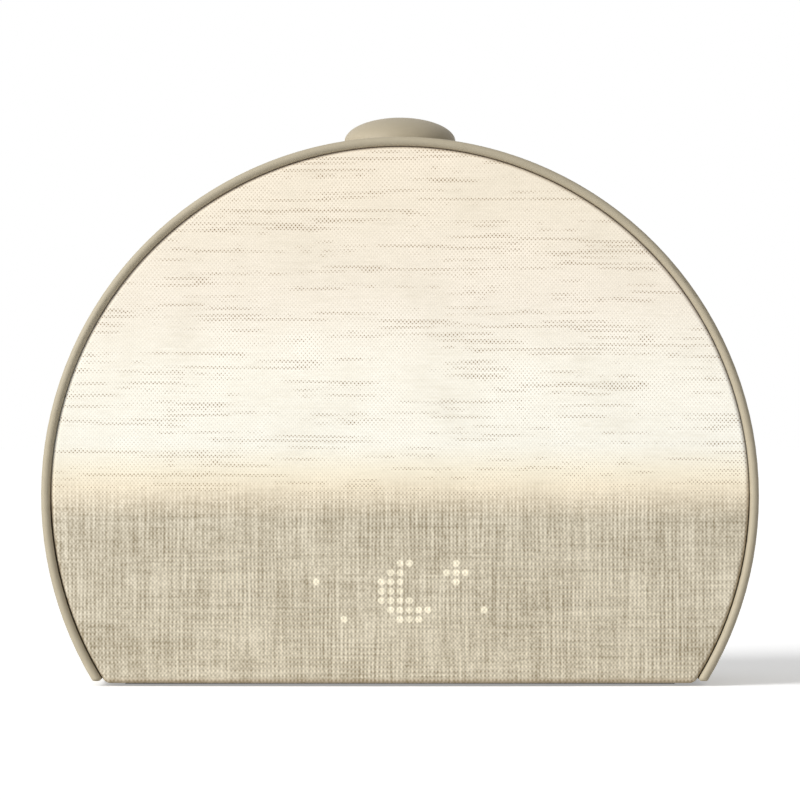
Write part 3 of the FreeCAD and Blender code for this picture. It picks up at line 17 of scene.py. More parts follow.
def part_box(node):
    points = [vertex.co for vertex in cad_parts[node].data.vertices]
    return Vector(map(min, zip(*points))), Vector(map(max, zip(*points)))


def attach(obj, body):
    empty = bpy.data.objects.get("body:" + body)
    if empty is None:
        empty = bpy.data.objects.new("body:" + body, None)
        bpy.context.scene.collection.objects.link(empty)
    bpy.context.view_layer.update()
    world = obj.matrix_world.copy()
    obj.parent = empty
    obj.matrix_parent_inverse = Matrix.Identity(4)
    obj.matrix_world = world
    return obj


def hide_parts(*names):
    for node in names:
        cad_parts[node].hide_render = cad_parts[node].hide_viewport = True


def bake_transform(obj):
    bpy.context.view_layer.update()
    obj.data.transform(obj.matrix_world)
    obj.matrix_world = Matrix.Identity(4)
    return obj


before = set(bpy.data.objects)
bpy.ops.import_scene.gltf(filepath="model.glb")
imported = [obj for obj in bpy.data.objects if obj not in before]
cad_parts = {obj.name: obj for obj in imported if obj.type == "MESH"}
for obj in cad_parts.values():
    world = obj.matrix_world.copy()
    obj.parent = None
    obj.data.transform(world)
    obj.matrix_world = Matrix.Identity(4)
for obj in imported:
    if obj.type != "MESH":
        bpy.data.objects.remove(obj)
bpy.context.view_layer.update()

log = logging.getLogger("sunrise_clock")

MM = 0.001
PIXEL = 0.28945 * MM
Colour = tuple[float, float, float]
DARK: Colour = (0.0, 0.0, 0.0)
WHITE: Colour = (1.0, 1.0, 1.0)


def linear(*screen: int) -> Colour:
    """Linear colour of a screen colour, given as red, green and blue from 0 to 255."""
    shares = (value / 255 for value in screen)
    return tuple(share / 12.92 if share <= 0.04045 else ((share + 0.055) / 1.055) ** 2.4 for share in shares)


class Signal:
    """One output of a shader node, to which Python's operators add Math nodes."""

    def __init__(self, bench: "TreeBench", socket: bpy.types.NodeSocket) -> None:
        """Keeps the socket and the tree that it belongs to."""
        self.bench = bench
        self.socket = socket

    def __add__(self, other: "Value") -> "Signal":
        """Sum."""
        return self.bench.math("ADD", self, other)

    __radd__ = __add__

    def __sub__(self, other: "Value") -> "Signal":
        """Difference."""
        return self.bench.math("SUBTRACT", self, other)

    def __rsub__(self, other: "Value") -> "Signal":
        """Difference, the other way round."""
        return self.bench.math("SUBTRACT", other, self)

    def __mul__(self, other: "Value") -> "Signal":
        """Product."""
        return self.bench.math("MULTIPLY", self, other)

    __rmul__ = __mul__

    def __truediv__(self, other: "Value") -> "Signal":
        """Quotient."""
        return self.bench.math("DIVIDE", self, other)

    def __neg__(self) -> "Signal":
        """Opposite."""
        return self.bench.math("MULTIPLY", self, -1.0)

    def sine(self) -> "Signal":
        """Sine of an angle in radians."""
        return self.bench.math("SINE", self)

    def size(self) -> "Signal":
        """Value without its sign."""
        return self.bench.math("ABSOLUTE", self)

    def root(self) -> "Signal":
        """Square root."""
        return self.bench.math("SQRT", self)

    def nearest(self) -> "Signal":
        """Nearest whole number."""
        return self.bench.math("ROUND", self)

    def held(self) -> "Signal":
        """Value kept between 0 and 1."""
        return self.bench.math("ADD", self, 0.0, clamp=True)

    def within(self, centre: float, reach: float) -> "Signal":
        """1 where the value is no further than the reach from the centre, else 0."""
        return self.bench.math("COMPARE", self, centre, reach)

    def ramp(self, low: float, high: float) -> "Signal":
        """Smooth step from 0 at the low value to 1 at the high one."""
        node = self.bench.make(
            "ShaderNodeMapRange",
            {"interpolation_type": "SMOOTHSTEP", "clamp": True},
            {"Value": self, "From Min": low, "From Max": high},
        )
        return Signal(self.bench, node.outputs["Result"])


Value = Union[float, Signal]

# Places of a Mix node's colour sockets, whose names it gives to other kinds of value as well
MIX_FIRST_COLOUR = 6
MIX_SECOND_COLOUR = 7
MIX_COLOUR = 2


class TreeBench:
    """Shader tree with short ways to add nodes."""

    def __init__(self, tree: bpy.types.NodeTree) -> None:
        """Takes a tree and empties it."""
        self.tree = tree
        self.tree.nodes.clear()

    def make(
        self,
        kind: str,
        settings: Optional[dict[str, object]] = None,
        inputs: Optional[dict[Union[str, int], object]] = None,
    ) -> bpy.types.Node:
        """Adds a node.

        Args:
            kind: the node's type.
            settings: the node's own options, and "stops" for a ramp's (place, colour) pairs.
            inputs: values or links of its sockets.

        Returns:
            The node.
        """
        node = self.tree.nodes.new(kind)
        for key, value in (settings or {}).items():
            if key == "stops":
                self.fill_ramp(node, value)
            else:
                setattr(node, key, value)
        for key, value in (inputs or {}).items():
            self.feed(node.inputs[key], value)
        return node

    @staticmethod
    def fill_ramp(node: bpy.types.Node, stops: Sequence[tuple[float, Colour]]) -> None:
        """Gives a colour ramp its stops."""
        elements = node.color_ramp.elements
        while len(elements) < len(stops):
            elements.new(0.5)
        for element, (place, colour) in zip(elements, stops):
            element.position = place
            element.color = (*colour, 1.0)

    def feed(self, socket: bpy.types.NodeSocket, value: object) -> None:
        """Sets or links one input."""
        if isinstance(value, Signal):
            self.tree.links.new(value.socket, socket)
        elif isinstance(value, bpy.types.NodeSocket):
            self.tree.links.new(value, socket)
        elif isinstance(value, tuple) and len(value) == 3 and socket.type == "RGBA":
            socket.default_value = (*value, 1.0)
        else:
            socket.default_value = value

    def math(self, operation: str, *values: Value, clamp: bool = False) -> Signal:
        """Adds one Math node and gives its result."""
        node = self.make(
            "ShaderNodeMath", {"operation": operation, "use_clamp": clamp}, dict(enumerate(values))
        )
        return Signal(self, node.outputs[0])

    def vector(self, x: Value, y: Value, z: Value) -> bpy.types.NodeSocket:
        """Vector out of three values."""
        return self.make("ShaderNodeCombineXYZ", {}, {"X": x, "Y": y, "Z": z}).outputs["Vector"]

    def cloud(self, at: bpy.types.NodeSocket, detail: float = 2.0, roughness: float = 0.5) -> Signal:
        """Soft noise between 0 and 1 at a place given in its own cells."""
        node = self.make(
            "ShaderNodeTexNoise",
            {"noise_dimensions": "3D"},
            {"Vector": at, "Scale": 1.0, "Detail": detail, "Roughness": roughness},
        )
        return Signal(self, node.outputs["Fac"])

    def cells(self, at: bpy.types.NodeSocket) -> Signal:
        """Distance to the nearest point of a cell pattern."""
        node = self.make("ShaderNodeTexVoronoi", {"feature": "F1"}, {"Vector": at, "Scale": 1.0})
        return Signal(self, node.outputs["Distance"])

    def seen_directly(self) -> Signal:
        """1 for the camera's rays and for mirror rays, else 0."""
        rays = self.make("ShaderNodeLightPath").outputs
        return self.math("MAXIMUM", Signal(self, rays["Is Camera Ray"]), Signal(self, rays["Is Glossy Ray"]))

    def blend(self, share: Value, first: object, second: object, mode: str = "MIX") -> bpy.types.NodeSocket:
        """Colour or link blended with a second one by its share, in one of the Mix node's modes."""
        node = self.make(
            "ShaderNodeMix",
            {"data_type": "RGBA", "blend_type": mode, "clamp_factor": True},
            {"Factor": share, MIX_FIRST_COLOUR: first, MIX_SECOND_COLOUR: second},
        )
        return node.outputs[MIX_COLOUR]


class NodeBench(TreeBench):
    """Shader tree of one finish."""

    def __init__(self, name: str) -> None:
        """Makes a material that holds only its shader and its output."""
        self.material = bpy.data.materials.new(name)
        self.material.use_nodes = True
        super().__init__(self.material.node_tree)
        self.skin = self.make("ShaderNodeBsdfPrincipled")
        self.make("ShaderNodeOutputMaterial", {}, {"Surface": self.skin.outputs["BSDF"]})

    def place(self) -> tuple[Signal, Signal, Signal]:
        """Object coordinates in millimetres."""
        coordinates = self.make("ShaderNodeTexCoord").outputs["Object"]
        parts = self.make("ShaderNodeSeparateXYZ", {}, {"Vector": coordinates})
        return tuple(Signal(self, parts.outputs[axis]) * (1 / MM) for axis in "XYZ")

    def relief(self, height: Signal, depth_mm: float, strength: float = 1.0) -> None:
        """Bumps the surface by a height between 0 and 1."""
        bump = self.make(
            "ShaderNodeBump", {}, {"Height": height, "Distance": depth_mm * MM, "Strength": strength}
        )
        self.feed(self.skin.inputs["Normal"], bump.outputs["Normal"])

    def settle(self, **values: object) -> None:
        """Sets constants of the shader by name, with underscores for spaces."""
        for key, value in values.items():
            self.feed(self.skin.inputs[key.replace("_", " ")], value)


class Grain(Enum):
    """Direction that a finish's fine marks run in."""

    EVEN = (1.0, 1.0, 1.0)
    ALONG_X = (0.06, 1.0, 1.0)
    ALONG_Y = (1.0, 0.06, 1.0)


class Look(Protocol):
    """Anything that builds a material."""

    def dress(self) -> bpy.types.Material:
        """Builds the material."""


Looks = list[tuple[Look, Sequence[str]]]


@dataclass(frozen=True)
class Finish:
    """Moulded, pressed or turned surface with a fine grain and a soft variation of tone.

    Attributes:
        low_tone: colour of the darker patches.
        depth_mm: height of the grain's relief.
        rough_swing: how much rougher the grain's low places are.
        metallic: 1 for bare metal.
        coat: weight of a clear coat.
        glow: colour that the surface gives off.
    """

    name: str
    tone: Colour
    low_tone: Colour
    patch_mm: float = 14.0
    grain_mm: float = 0.45
    grain: Grain = Grain.EVEN
    depth_mm: float = 0.02
    roughness: float = 0.5
    rough_swing: float = 0.12
    metallic: float = 0.0
    coat: float = 0.0
    glow: Colour = DARK
    glow_strength: float = 0.0

    def dress(self) -> bpy.types.Material:
        """Builds the material."""
        bench = NodeBench(self.name)
        x, y, z = bench.place()
        stretch = [share / self.grain_mm for share in self.grain.value]
        fine = bench.cloud(bench.vector(x * stretch[0], y * stretch[1], z * stretch[2]), 3.0, 0.6)
        broad = bench.cloud(bench.vector(x / self.patch_mm, y / self.patch_mm, z / self.patch_mm), 3.0)
        shade = (broad * 0.75 + fine * 0.35 - 0.05).held()
        bench.settle(
            Base_Color=bench.blend(shade, self.low_tone, self.tone),
            Roughness=self.roughness + self.rough_swing * (1 - fine),
            Metallic=self.metallic,
            Coat_Weight=self.coat,
            Emission_Color=self.glow,
            Emission_Strength=self.glow_strength,
        )
        bench.relief(fine, self.depth_mm)
        return bench.material


def metal(name: str, level: float, low: float, roughness: float, grain: Grain = Grain.ALONG_X) -> Finish:
    """Bare metal with fine marks, given by the brightness of its pale and its darker patches."""
    tone, low_tone = (level, level, level + 0.02), (low, low, low + 0.02)
    return Finish(name, tone, low_tone, grain=grain, roughness=roughness, metallic=1.0)


@dataclass(frozen=True)
class SoftTouchPutty:
    """Putty-coloured plastic with the fine matt skin of the case, button and dials."""

    name: str = "soft_touch_putty"
    tone: Colour = linear(188, 178, 156)
    low_tone: Colour = linear(172, 161, 137)
    grain_mm: float = 0.28
    depth_mm: float = 0.018

    def dress(self) -> bpy.types.Material:
        """Builds the material."""
        bench = NodeBench(self.name)
        x, y, z = bench.place()
        size = self.grain_mm
        pebble = bench.cells(bench.vector(x / size, y / size, z / size))
        dust = bench.cloud(bench.vector(x / 3.0, y / 3.0, z / 3.0), 4.0, 0.6)
        broad = bench.cloud(bench.vector(x / 40.0, y / 40.0, z / 40.0), 2.0)
        shade = (broad * 0.7 + dust * 0.5 - pebble * 0.12 - 0.02).held()
        bench.settle(
            Base_Color=bench.blend(shade, self.low_tone, self.tone),
            Roughness=0.52 + 0.12 * dust,
            Specular_IOR_Level=0.35,
        )
        bench.relief(1 - pebble, self.depth_mm, 0.7)
        return bench.material


@dataclass(frozen=True)
class Threads:
    """Signals of the weave that its colour, its light and its relief share.

    The waves are the threads' heights, and over is 1 where a thread lies on top and -1 in the hollows. The rest
    is unevenness from 0 to 1: of the upright threads (warp) and the level ones (weft), of their thick places,
    of broad patches, of how plainly the upright threads stand out (regular) and of single fibres (speck).
    """

    row_wave: Signal
    column_wave: Signal
    over: Signal
    warp: Signal
    warp_knots: Signal
    weft: Signal
    weft_knots: Signal
    patch: Signal
    regular: Signal
    speck: Signal


@dataclass(frozen=True)
class SlubLinen:
    """Plain-woven linen: bare below the horizon, with light from behind painted on above it and in round dots.

    Attributes:
        axis_mm: height of the front's centre.
        edge_mm: radius of the cloth's round edge.
        horizon_mm: height of the line between display and sky.
        dots_mm: height of the display's middle row.
        horizon_blur_mm: how far the lit colour fades out below and above the horizon.
        warp_mm: distance between two upright threads.
        weft_mm: distance between two level threads.
        warp_sway_mm: how far the upright threads wander to the side.
        weft_drift_mm: how far the level threads wander up and down.
        edge_shade_mm: width of the painted shade where the cloth rolls round, within and past the round edge.
        foot_shade_mm: heights between which the painted shade where the cloth rolls under the foot ends.
        bare_tone: mean tone of the bare cloth, from the shade thread to the pale one.
    """

    axis_mm: float
    edge_mm: float
    horizon_mm: float
    dots_mm: float
    horizon_blur_mm: tuple[float, float] = (6.0, 6.5)
    dot_pitch_mm: float = 2.7
    dot_radius_mm: float = 1.0
    warp_mm: float = 0.565
    weft_mm: float = 0.65
    warp_sway_mm: float = 1.6
    weft_drift_mm: float = 2.4
    edge_shade_mm: tuple[float, float] = (0.9, 0.1)
    foot_shade_mm: tuple[float, float] = (1.4, 2.8)
    bare_tone: float = 0.53
    pale_thread: Colour = linear(240, 231, 210)
    shade_thread: Colour = linear(148, 135, 110)
    # Lit copy of the threads' colour, painted light where the cloth is lit from behind.
    lit_thread: Colour = linear(213, 203, 180)
    # Painted shade in the hollows of the lit cloth.
    lit_hollow_shade: Colour = linear(146, 124, 92)
    # Painted shade where the cloth rolls round the panel's edge and under its foot.
    fold_shade: Colour = linear(158, 134, 98)
    dot_light: Colour = (0.34, 0.325, 0.26)
    sky_span_mm: float = 108.0
    sky_start_mm: float = 48.0

    def sky(self) -> list[tuple[float, Colour]]:
        """Light that comes through the cloth by height, as (share of the sky's span, colour) pairs."""
        by_height = [
            (48.5, DARK),
            (51.1, (0.060, 0.045, 0.030)),
            (54.6, (0.185, 0.155, 0.120)),
            (58.0, (0.275, 0.240, 0.190)),
            (62.5, (0.310, 0.300, 0.265)),
            (70.0, (0.330, 0.365, 0.395)),
            (92.8, (0.345, 0.365, 0.385)),
            (112.0, (0.300, 0.290, 0.300)),
            (141.0, (0.285, 0.262, 0.248)),
            (154.0, (0.292, 0.262, 0.246)),
        ]
        return [((height - self.sky_start_mm) / self.sky_span_mm, colour) for height, colour in by_height]

    @staticmethod
    def bare_swings() -> dict[str, float]:
        """How far each unevenness of the threads moves the bare cloth's tone."""
        return {
            "warp": 0.95, "warp_knots": 0.75, "weft": 0.50, "weft_knots": 0.45, "patch": 0.55, "speck": 0.60
        }

    @staticmethod
    def lit_runs() -> list[tuple[int, int, int]]:
        """Lit dots as (row over the middle, first column, last column): a crescent moon and small stars."""
        return [
            (3, 0, 1), (3, 6, 6),
            (2, -1, 0), (2, 5, 7),
            (1, -2, 0), (1, -9, -9), (1, 6, 6),
            (0, -2, 0),
            (-1, -2, 1),
            (-2, -1, 3), (-2, 9, 9),
            (-3, 0, 2), (-3, -6, -6),
        ]

    def dots(self, x: Signal, z: Signal) -> Signal:
        """Mask of the lit dots."""
        column = (x / self.dot_pitch_mm).nearest()
        row = ((z - self.dots_mm) / self.dot_pitch_mm).nearest()
        off_x = x - column * self.dot_pitch_mm
        off_z = z - self.dots_mm - row * self.dot_pitch_mm
        distance = (off_x * off_x + off_z * off_z).root()
        disc = 1 - distance.ramp(self.dot_radius_mm * 0.80, self.dot_radius_mm * 1.22)
        lit: Value = 0.0
        for level, first, last in self.lit_runs():
            middle = (first + last) / 2
            reach = (last - first) / 2 + 0.25
            lit = row.within(level, 0.25) * column.within(middle, reach) + lit
        return disc * lit

    def threads(self, bench: NodeBench, x: Signal, z: Signal) -> Threads:
        """Lays out the crossing threads. Each layer's number gives it a pattern of its own."""

        def uneven(
            across: Value, layer: float, up: Value, detail: float = 1.0, fine: float = 0.5
        ) -> Signal:
            """Soft noise over the front."""
            return bench.cloud(bench.vector(across, layer, up), detail, fine)

        drift = uneven(x * 0.012, 0.0, z * 0.04)
        sway = uneven(x * 0.04, 7.0, z * 0.012)
        row = (z + (drift - 0.5) * self.weft_drift_mm) / self.weft_mm
        column = (x + (sway - 0.5) * self.warp_sway_mm) / self.warp_mm
        row_wave = (row * math.pi).sine()
        column_wave = (column * math.pi).sine()
        level = row.nearest()
        upright = column.nearest()
        return Threads(
            row_wave=row_wave,
            column_wave=column_wave,
            over=row_wave * column_wave,
            warp=uneven(upright * 1.37, 3.0, z * 0.055),
            warp_knots=uneven(upright * 1.73, 23.0, z * 0.55, 2.0, 0.6),
            weft=uneven(x * 0.026, 11.0, level * 1.61),
            weft_knots=uneven(x * 0.16, 13.0, level * 1.87, 2.0, 0.6),
            patch=uneven(x * 0.045, 17.0, z * 0.045, 3.0, 0.55),
            regular=uneven(x * 0.07, 29.0, z * 0.05, 2.0),
            speck=uneven(x * 1.6, 31.0, z * 1.6),
        )

    def bare_colour(self, bench: NodeBench, threads: Threads) -> bpy.types.NodeSocket:
        """Colour of the cloth where no light comes through."""
        paired = threads.column_wave * (threads.regular * 0.50 - 0.10)
        # The weave's hollows are painted darker, as their shade.
        tone = self.bare_tone + threads.over * 0.22 + paired
        for name, swing in self.bare_swings().items():
            tone = tone + (getattr(threads, name) - 0.5) * swing
        return bench.blend(tone.held(), self.shade_thread, self.pale_thread)

    @staticmethod
    def slubs(threads: Threads) -> Signal:
        """Painted shade in the hollows of the lit cloth, in rows where the level threads are slack; it also
        holds back the glow there.
        """
        hollows = (-threads.over + (threads.speck - 0.5) * 0.9).ramp(0.10, 1.0)
        strong = (threads.weft * 0.80 + threads.weft_knots * 0.36).ramp(0.615, 0.735)
        faint = (threads.patch * 0.6 + threads.weft * 0.5).ramp(0.46, 0.68)
        return (hollows * (strong * 1.1 + faint * 0.38 + 0.10) + strong * 0.10).held()

    def colour(
        self, bench: NodeBench, threads: Threads, slub_shade: Signal, edge: Signal, z: Signal
    ) -> bpy.types.NodeSocket:
        """The cloth's colour: a painted lit copy above the horizon, browner in painted shade where folded round
        the panel.
        """
        below, above = self.horizon_blur_mm
        # Above the horizon the cloth takes a painted lit copy of its colour.
        lit = z.ramp(self.horizon_mm - below, self.horizon_mm + above)
        lit_colour = bench.blend(slub_shade, self.lit_thread, self.lit_hollow_shade)
        cloth = bench.blend(lit, self.bare_colour(bench, threads), lit_colour)
        # Painted shade where the cloth rolls round the edge and under the foot, blended in as the browner fold
        # colour.
        foot = 1 - z.ramp(*self.foot_shade_mm)
        return bench.blend(bench.math("MAXIMUM", edge * 0.5, foot * 0.45), cloth, self.fold_shade)

    def light(
        self, bench: NodeBench, threads: Threads, slub_shade: Signal, edge: Signal, x: Signal, z: Signal
    ) -> bpy.types.NodeSocket:
        """Light that the sky's and the dots' lamps send through the cloth, painted on as the cloth's glow."""
        share = (z - self.sky_start_mm) / self.sky_span_mm
        glow = bench.make("ShaderNodeValToRGB", {"stops": self.sky()}, {"Fac": share}).outputs["Color"]
        smear = (
            (threads.weft - 0.5) * 0.5 + (threads.weft_knots - 0.5) * 0.6 + (threads.patch - 0.5) * 1.1
            + threads.over.ramp(0.15, 1.0) * 0.10
        )
        through = (1.02 + smear * 0.75) * (1 - slub_shade * 0.9) * (1 - edge * 0.6)
        sky_light = bench.blend(1.0, glow, bench.vector(through, through, through), "MULTIPLY")
        dot_share = self.dots(x, z) * (0.98 + threads.over * 0.10)
        return bench.blend(1.0, sky_light, bench.blend(dot_share, DARK, self.dot_light), "ADD")

    def dress(self) -> bpy.types.Material:
        """Builds the material."""
        bench = NodeBench("slub_linen")
        x, _, z = bench.place()
        threads = self.threads(bench, x, z)
        slub_shade = self.slubs(threads)
        rise = z - self.axis_mm
        # Mask of the painted shade where the cloth rolls round its edge; it also dims the glow there.
        within, past = self.edge_shade_mm
        edge = (x * x + rise * rise).root().ramp(self.edge_mm - within, self.edge_mm + past)
        bench.settle(
            Base_Color=self.colour(bench, threads, slub_shade, edge, z),
            Roughness=0.86 + 0.1 * (1 - threads.warp),
            Specular_IOR_Level=0.15,
            Emission_Color=self.light(bench, threads, slub_shade, edge, x, z),
            Emission_Strength=1.0,
        )
        relief = threads.row_wave.size() * 0.4 + threads.column_wave.size() * 0.4 + threads.over * 0.3
        bench.relief(relief + (threads.warp_knots + threads.weft_knots) * 0.3, 0.05, 0.5)
        return bench.material


@dataclass(frozen=True)
class PrintedBoard:
    """Green board with fine tracks and tinned pads."""

    name: str = "printed_board"
    mask: Colour = (0.012, 0.09, 0.035)
    track: Colour = (0.03, 0.17, 0.07)
    pad: Colour = (0.62, 0.60, 0.52)

    def dress(self) -> bpy.types.Material:
        """Builds the material."""
        bench = NodeBench(self.name)
        x, y, z = bench.place()
        lane = bench.cells(bench.vector(x * 0.45, y * 0.45, z * 0.12))
        cross = bench.cells(bench.vector(x * 0.12, y * 0.45, z * 0.45))
        tracks = (1 - lane.ramp(0.28, 0.34)) * 0.6 + (1 - cross.ramp(0.22, 0.28)) * 0.5
        pads = 1 - bench.cells(bench.vector(x * 0.55, y * 0.55, z * 0.55)).ramp(0.13, 0.16)
        green = bench.blend(tracks.held(), self.mask, self.track)
        bench.settle(
            Base_Color=bench.blend(pads, green, self.pad),
            Roughness=0.32 + 0.1 * pads,
            Metallic=pads * 0.8,
            Coat_Weight=0.2,
        )
        bench.relief((tracks * 0.5 + pads).held(), 0.04)
        return bench.material


@dataclass(frozen=True)
class Lamps:
    """Lamps in a row with a pale body and a phosphor that gives light.

    The offset is the place of the first lamp right of the middle, counted in pitches.
    """

    name: str
    body: Colour
    phosphor: Colour
    pitch_mm: float
    radius_mm: float
    strength: float
    offset: float = 0.0

    def dress(self) -> bpy.types.Material:
        """Builds the material."""
        bench = NodeBench(self.name)
        x, y, z = bench.place()
        column = (x / self.pitch_mm - self.offset).nearest() + self.offset
        reach = (x - column * self.pitch_mm).size()
        middle = 1 - reach.ramp(self.radius_mm * 0.8, self.radius_mm)
        speck = bench.cloud(bench.vector(x * 3, y * 3, z * 3), 2.0)
        tone = bench.blend(middle, self.body, self.phosphor)
        bench.settle(
            Base_Color=bench.blend(speck * 0.2, tone, self.body),
            Roughness=0.3 + 0.2 * speck,
            Emission_Color=bench.blend(middle, DARK, self.phosphor),
            Emission_Strength=self.strength,
        )
        return bench.material


@dataclass(frozen=True)
class WovenMesh:
    """Fine open-woven cloth with crossing threads."""

    name: str
    thread: Colour
    hollow_shade: Colour
    thread_mm: float = 0.35

    def dress(self) -> bpy.types.Material:
        """Builds the material."""
        bench = NodeBench(self.name)
        x, y, z = bench.place()
        warp = (x * (math.pi / self.thread_mm)).sine().size()
        weft = (z * (math.pi / self.thread_mm)).sine().size()
        # Where neither thread covers, the gaps are painted in the darker hollow colour, as their shade.
        cover = (warp * 0.6 + weft * 0.6).held()
        uneven = bench.cloud(bench.vector(x * 0.5, y * 0.5, z * 0.5), 2.0)
        bench.settle(
            Base_Color=bench.blend((cover * 0.8 + uneven * 0.2).held(), self.hollow_shade, self.thread),
            Roughness=0.8 + 0.15 * uneven,
        )
        bench.relief(cover, 0.05)
        return bench.material


@dataclass(frozen=True)
class Striped:
    """Surface in stripes along one direction, as on a flat cable, paired leads or a wound coil."""

    name: str
    first: Colour
    second: Colour
    stripe_mm: float
    axis: int
    roughness: float = 0.4
    metallic: float = 0.0

    def dress(self) -> bpy.types.Material:
        """Builds the material."""
        bench = NodeBench(self.name)
        place = bench.place()
        wave = (place[self.axis] * (math.pi / self.stripe_mm)).sine()
        stripe = wave.ramp(-0.3, 0.3)
        speck = bench.cloud(bench.vector(place[0] * 0.8, place[1] * 0.8, place[2] * 0.8), 2.0)
        bench.settle(
            Base_Color=bench.blend((stripe * 0.9 + speck * 0.1).held(), self.first, self.second),
            Roughness=self.roughness + 0.15 * speck,
            Metallic=self.metallic,
        )
        bench.relief(wave.size(), 0.06)
        return bench.material


@dataclass(frozen=True)
class RibbedRubber:
    """Foot rubber with fine ribs that grip the table."""

    name: str = "ribbed_rubber"
    tone: Colour = (0.045, 0.042, 0.038)
    low_tone: Colour = (0.022, 0.021, 0.02)
    rib_mm: float = 2.4

    def dress(self) -> bpy.types.Material:
        """Builds the material."""
        bench = NodeBench(self.name)
        x, y, z = bench.place()
        rib = (x * (math.pi / self.rib_mm)).sine().size()
        dust = bench.cloud(bench.vector(x * 0.4, y * 0.4, z * 0.4), 4.0, 0.65)
        # The grooves between the ribs are painted darker, as their shade.
        bench.settle(
            Base_Color=bench.blend((rib * 0.5 + dust * 0.5).held(), self.low_tone, self.tone),
            Roughness=0.72 + 0.18 * dust,
        )
        bench.relief(rib, 0.25, 0.8)
        return bench.material


def dress_nodes(material: bpy.types.Material, names: Iterable[str]) -> None:
    """Gives CAD nodes a finish in every slot.

    Args:
        material: the finish.
        names: the nodes' names.
    """
    for name in names:
        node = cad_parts[name]
        for slot in node.material_slots:
            slot.link = "OBJECT"
            slot.material = material
        log.info("node %s wears %s", name, material.name)


def finished(
    name: str,
    form: bmesh.types.BMesh,
    material: bpy.types.Material,
    body: Optional[str] = "case",
    smooth_degrees: float = 40.0,
) -> bpy.types.Object:
    """Turns a bmesh into a piece.

    Args:
        name: the piece's name.
        form: its shape, which is freed.
        material: its finish.
        body: the body that it moves with, or None to leave it on no body.
        smooth_degrees: edges under this angle are shaded smooth.

    Returns:
        The piece's object.
    """
    bmesh.ops.recalc_face_normals(form, faces=form.faces)
    limit = math.radians(smooth_degrees)
    for face in form.faces:
        face.smooth = True
    for edge in form.edges:
        edge.smooth = len(edge.link_faces) == 2 and edge.calc_face_angle(0.0) < limit
    mesh = bpy.data.meshes.new(name)
    form.to_mesh(mesh)
    form.free()
    mesh.materials.append(material)
    piece = bpy.data.objects.new(name, mesh)
    bpy.context.scene.collection.objects.link(piece)
    if body is not None:
        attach(piece, body)
    log.info("piece %s: %d faces", name, len(mesh.polygons))
    return piece


def stretch(
    piece: bpy.types.Object, node: str, rests_on: list[str], flat: tuple[float, float], area: float
) -> None:
    """Hides the node that a stretched sheet piece stands for."""
    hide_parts(node)


def middle_of(node: str) -> Vector:
    """Middle of a node's box."""
    low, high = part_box(node)
    return (Vector(low) + Vector(high)) / 2


def facing_front(centre: Vector) -> Matrix:
    """Turn that stands a flat outline upright round a centre."""
    return Matrix.Translation(centre) @ Matrix.Rotation(math.pi / 2, 4, "X")


def thicken(piece: bpy.types.Object, thickness: float) -> None:
    """Gives an open sheet its thickness, inwards."""
    wall = piece.modifiers.new("thickness", "SOLIDIFY")
    wall.thickness = thickness
    wall.offset = -1.0
    wall.use_rim = True


